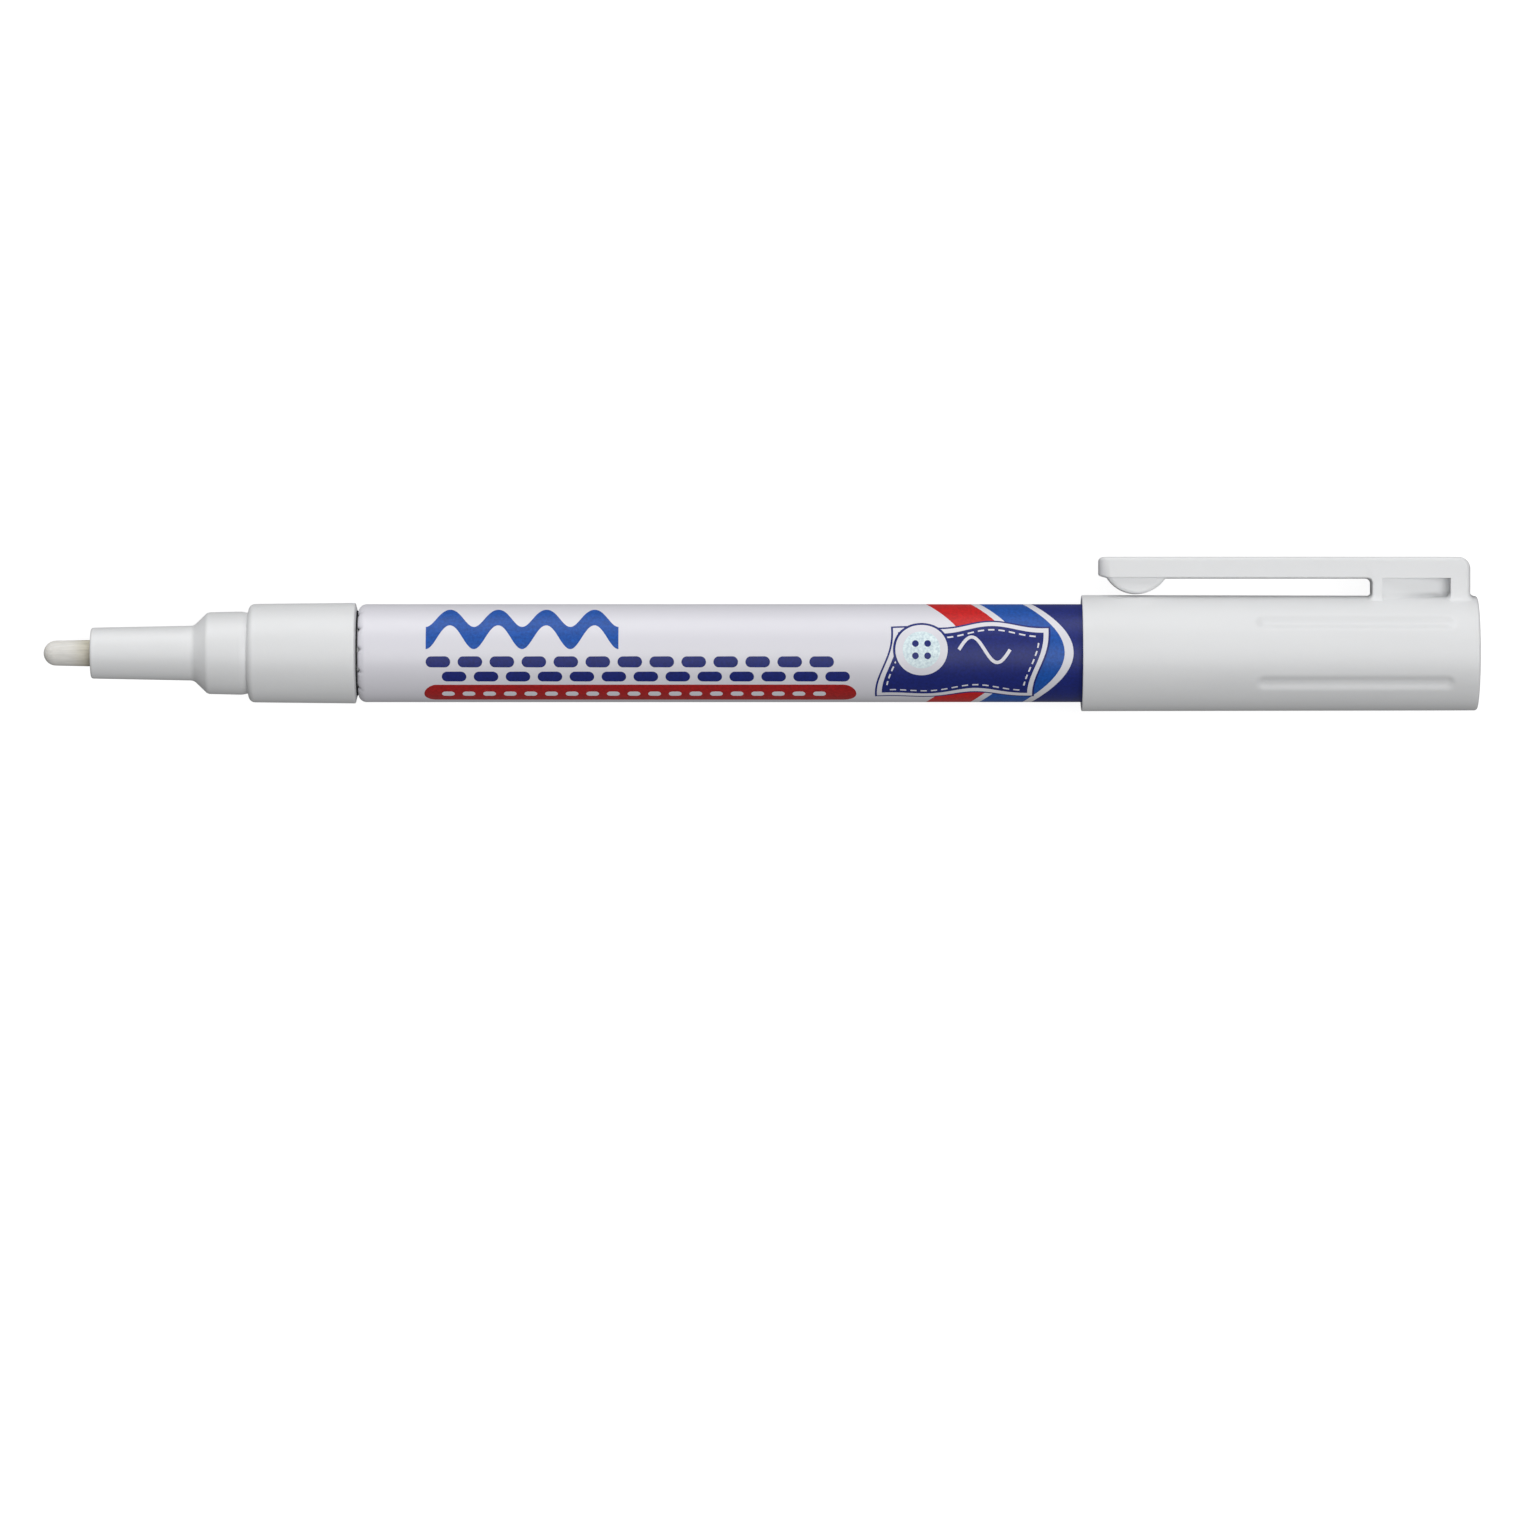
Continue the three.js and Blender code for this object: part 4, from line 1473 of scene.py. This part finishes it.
    def make_pictogram(self, sizes):
        """A plain round button with a ring and four holes, and a loose thread beside it."""
        middle = Vector((57.4, 0.3, 0))
        bm = bmesh.new()
        round_print(bm, middle, sizes.button_radius, 64)
        bm.faces.ensure_lookup_table()
        shape = bm.faces[0]
        outline, rim_coat, dish = range(3)
        for width, ink in ((sizes.button_outline, outline), (sizes.button_rim, rim_coat)):
            ring = bmesh.ops.inset_region(
                bm, faces=[shape], thickness=width, use_boundary=True, use_even_offset=True
            )["faces"]
            for face in ring:
                face.material_index = ink
        shape.material_index = dish
        inks = ["navy_ink", "roller_lacquer", "pale_blue_ink"]
        print_film("printed_pictogram", bm, inks, sizes.film, layer=4)
        holes = bmesh.new()
        for side in (1, -1):
            for end in (1, -1):
                aside = Vector((end, side, 0)) * sizes.hole_spread
                round_print(holes, middle + aside, sizes.hole_radius, 24)
        print_film("printed_rim", holes, ["navy_ink"], sizes.film, layer=5)
        line = bmesh.new()
        thread_start = Vector((61.2, middle.y, 0))
        thread_reach, thread_swing = 5.2, 1.3

        def thread(share):
            wave = thread_swing * math.sin(math.tau * share)
            return thread_start + Vector((thread_reach * share, wave, 0))

        stroke(line, thread, sizes.thread_width, 60)
        print_film("printed_line", line, ["roller_lacquer"], sizes.film, layer=3)


def round_print(bm, middle, radius, steps):
    """A flat disc of ink."""
    place = Matrix.Translation(middle)
    bmesh.ops.create_circle(bm, cap_ends=True, segments=steps, radius=radius, matrix=place)


def stroke(bm, path, width, count):
    """A flat band of even width, bent along a path that gives a point for each share of the way."""
    grid = bmesh.ops.create_grid(bm, x_segments=count, y_segments=1, size=0.5)
    small = 0.001
    for vert in grid["verts"]:
        share = vert.co.x + 0.5
        ahead = (path(share + small) - path(share - small)).normalized()
        aside = Vector((-ahead.y, ahead.x, 0))
        vert.co = path(share) + aside * vert.co.y * width


def pill(bm, start, end, middle, height):
    """A flat bar with round ends."""
    made = bmesh.ops.create_circle(bm, cap_ends=True, segments=32, radius=height / 2)["verts"]
    straight = (end - start - height) / 2
    for vert in made:
        vert.co.x += math.copysign(straight, vert.co.x)
        vert.co.x += (start + end) / 2
        vert.co.y += middle


def print_film(name, bm, materials, film, layer=0):
    """Lays a flat drawing, in millimetres along and round the can, on its skin as a thin solid film.
    Layers lie a little more than one coat apart, so that no two films touch."""
    first_lift, coat_pitch = 0.002, 1.2
    can = reach("barrel_can")
    bmesh.ops.triangulate(bm, faces=bm.faces)
    strip = math.radians(STRIP_ANGLE) * can.radius
    low = min(vert.co.y for vert in bm.verts)
    high = max(vert.co.y for vert in bm.verts)
    for index in range(math.ceil(low / strip), math.floor(high / strip) + 1):
        cut(bm, (0, index * strip, 0), (0, 1, 0))
    grown = bmesh.ops.extrude_face_region(bm, geom=bm.faces[:], use_keep_orig=True)
    bmesh.ops.translate(bm, verts=only(grown["geom"], bmesh.types.BMVert), vec=(0, 0, film))
    lift = first_lift + layer * coat_pitch * film
    for vert in bm.verts:
        radius = can.radius + lift + vert.co.z
        angle = vert.co.y / can.radius
        vert.co = (can.front + vert.co.x, radius * math.sin(angle), radius * math.cos(angle))
    bmesh.ops.recalc_face_normals(bm, faces=bm.faces)
    finish_piece(name, bm, materials, "barrel")


# ---------------------------------------------------------------------------
# Stage
# ---------------------------------------------------------------------------


class MARKER_OT_stage(bpy.types.Operator):
    """Backlit paper floor, two big soft lights with pale surroundings, and the camera"""

    bl_idname = "marker.stage"
    bl_label = "Stage"

    def execute(self, context):
        stage = context.scene.fabric_marker.stage
        middle = (CAD_BOX[0] + CAD_BOX[1]) / 2
        self.lay_floor(context, stage)
        self.hang_light(context, "key", stage)
        self.hang_light(context, "top", stage)
        self.light_surroundings(context, stage)
        lens_angle = 2 * math.atan(stage.view_width / 2 / stage.camera_height)
        camera = bpy.data.cameras.new("camera")
        camera.sensor_width = 36.0
        camera.lens = camera.sensor_width / 2 / math.tan(lens_angle / 2)
        camera.clip_start = 0.01
        camera.clip_end = 100.0
        holder = bpy.data.objects.new("camera", camera)
        holder.location = (
            middle.x + stage.camera_ahead,
            PEN_ORIGIN.y - stage.camera_aside,
            PEN_ORIGIN.z + stage.camera_height,
        )
        context.scene.collection.objects.link(holder)
        context.scene.camera = holder
        context.scene.view_settings.view_transform = "Standard"
        return {"FINISHED"}

    @staticmethod
    def lay_floor(context, stage):
        bm = bmesh.new()
        bmesh.ops.create_grid(bm, x_segments=1, y_segments=1, size=stage.floor_size / 2)
        air = 0.02 * MM
        bmesh.ops.translate(bm, verts=bm.verts, vec=(0, 0, -air))
        mesh = bpy.data.meshes.new("floor")
        bm.to_mesh(mesh)
        bm.free()
        mesh.materials.append(material_of("stage_paper"))
        floor = bpy.data.objects.new("floor", mesh)
        floor.visible_diffuse = False
        floor.visible_glossy = False
        context.scene.collection.objects.link(floor)

    @staticmethod
    def hang_light(context, name, stage):
        """A square soft light, from the settings that start with its name, facing the pen."""
        light = bpy.data.lights.new(name, "AREA")
        light.shape = "SQUARE"
        light.size = getattr(stage, name + "_size")
        light.energy = getattr(stage, name + "_power")
        tilt = getattr(stage, name + "_tilt")
        along = getattr(stage, name + "_turn")
        across = math.cos(along)
        lean = Vector((math.sin(along), across * math.sin(tilt), across * math.cos(tilt)))
        holder = bpy.data.objects.new(name, light)
        holder.location = PEN_ORIGIN + lean * stage.light_distance
        holder.rotation_mode = "QUATERNION"
        holder.rotation_quaternion = (-lean).to_track_quat("-Z", "Y")
        context.scene.collection.objects.link(holder)

    @staticmethod
    def light_surroundings(context, stage):
        world = bpy.data.worlds.new("studio")
        world.use_nodes = True
        background = world.node_tree.nodes["Background"]
        background.inputs["Color"].default_value = (1, 1, 1, 1)
        background.inputs["Strength"].default_value = stage.ambient
        context.scene.world = world


# ---------------------------------------------------------------------------
# Panel and registration
# ---------------------------------------------------------------------------

PIECE_OPERATORS = (
    MARKER_OT_barrel,
    MARKER_OT_front,
    MARKER_OT_nib,
    MARKER_OT_valve,
    MARKER_OT_ball,
    MARKER_OT_cap,
    MARKER_OT_clip,
    MARKER_OT_prints,
    MARKER_OT_stage,
)


class MARKER_PT_pieces(bpy.types.Panel):
    """Buttons that build the marker's pieces and its stage"""

    bl_idname = "MARKER_PT_pieces"
    bl_label = "Fabric marker"
    bl_space_type = "VIEW_3D"
    bl_region_type = "UI"
    bl_category = "Fabric marker"

    def draw(self, context):
        for operator in PIECE_OPERATORS:
            self.layout.operator(operator.bl_idname)


CLASSES = (
    BarrelSizes,
    FrontSizes,
    NibSizes,
    ValveSizes,
    CapSizes,
    ClipSizes,
    PrintSizes,
    Finishes,
    StageSettings,
    MarkerSettings,
    *PIECE_OPERATORS,
    MARKER_PT_pieces,
)


def register():
    for cls in CLASSES:
        bpy.utils.register_class(cls)
    bpy.types.Scene.fabric_marker = PointerProperty(type=MarkerSettings)


def unregister():
    del bpy.types.Scene.fabric_marker
    for cls in reversed(CLASSES):
        bpy.utils.unregister_class(cls)


def main():
    register()
    for operator in PIECE_OPERATORS:
        group, name = operator.bl_idname.split(".")
        getattr(getattr(bpy.ops, group), name)()


if __name__ == "__main__":
    main()
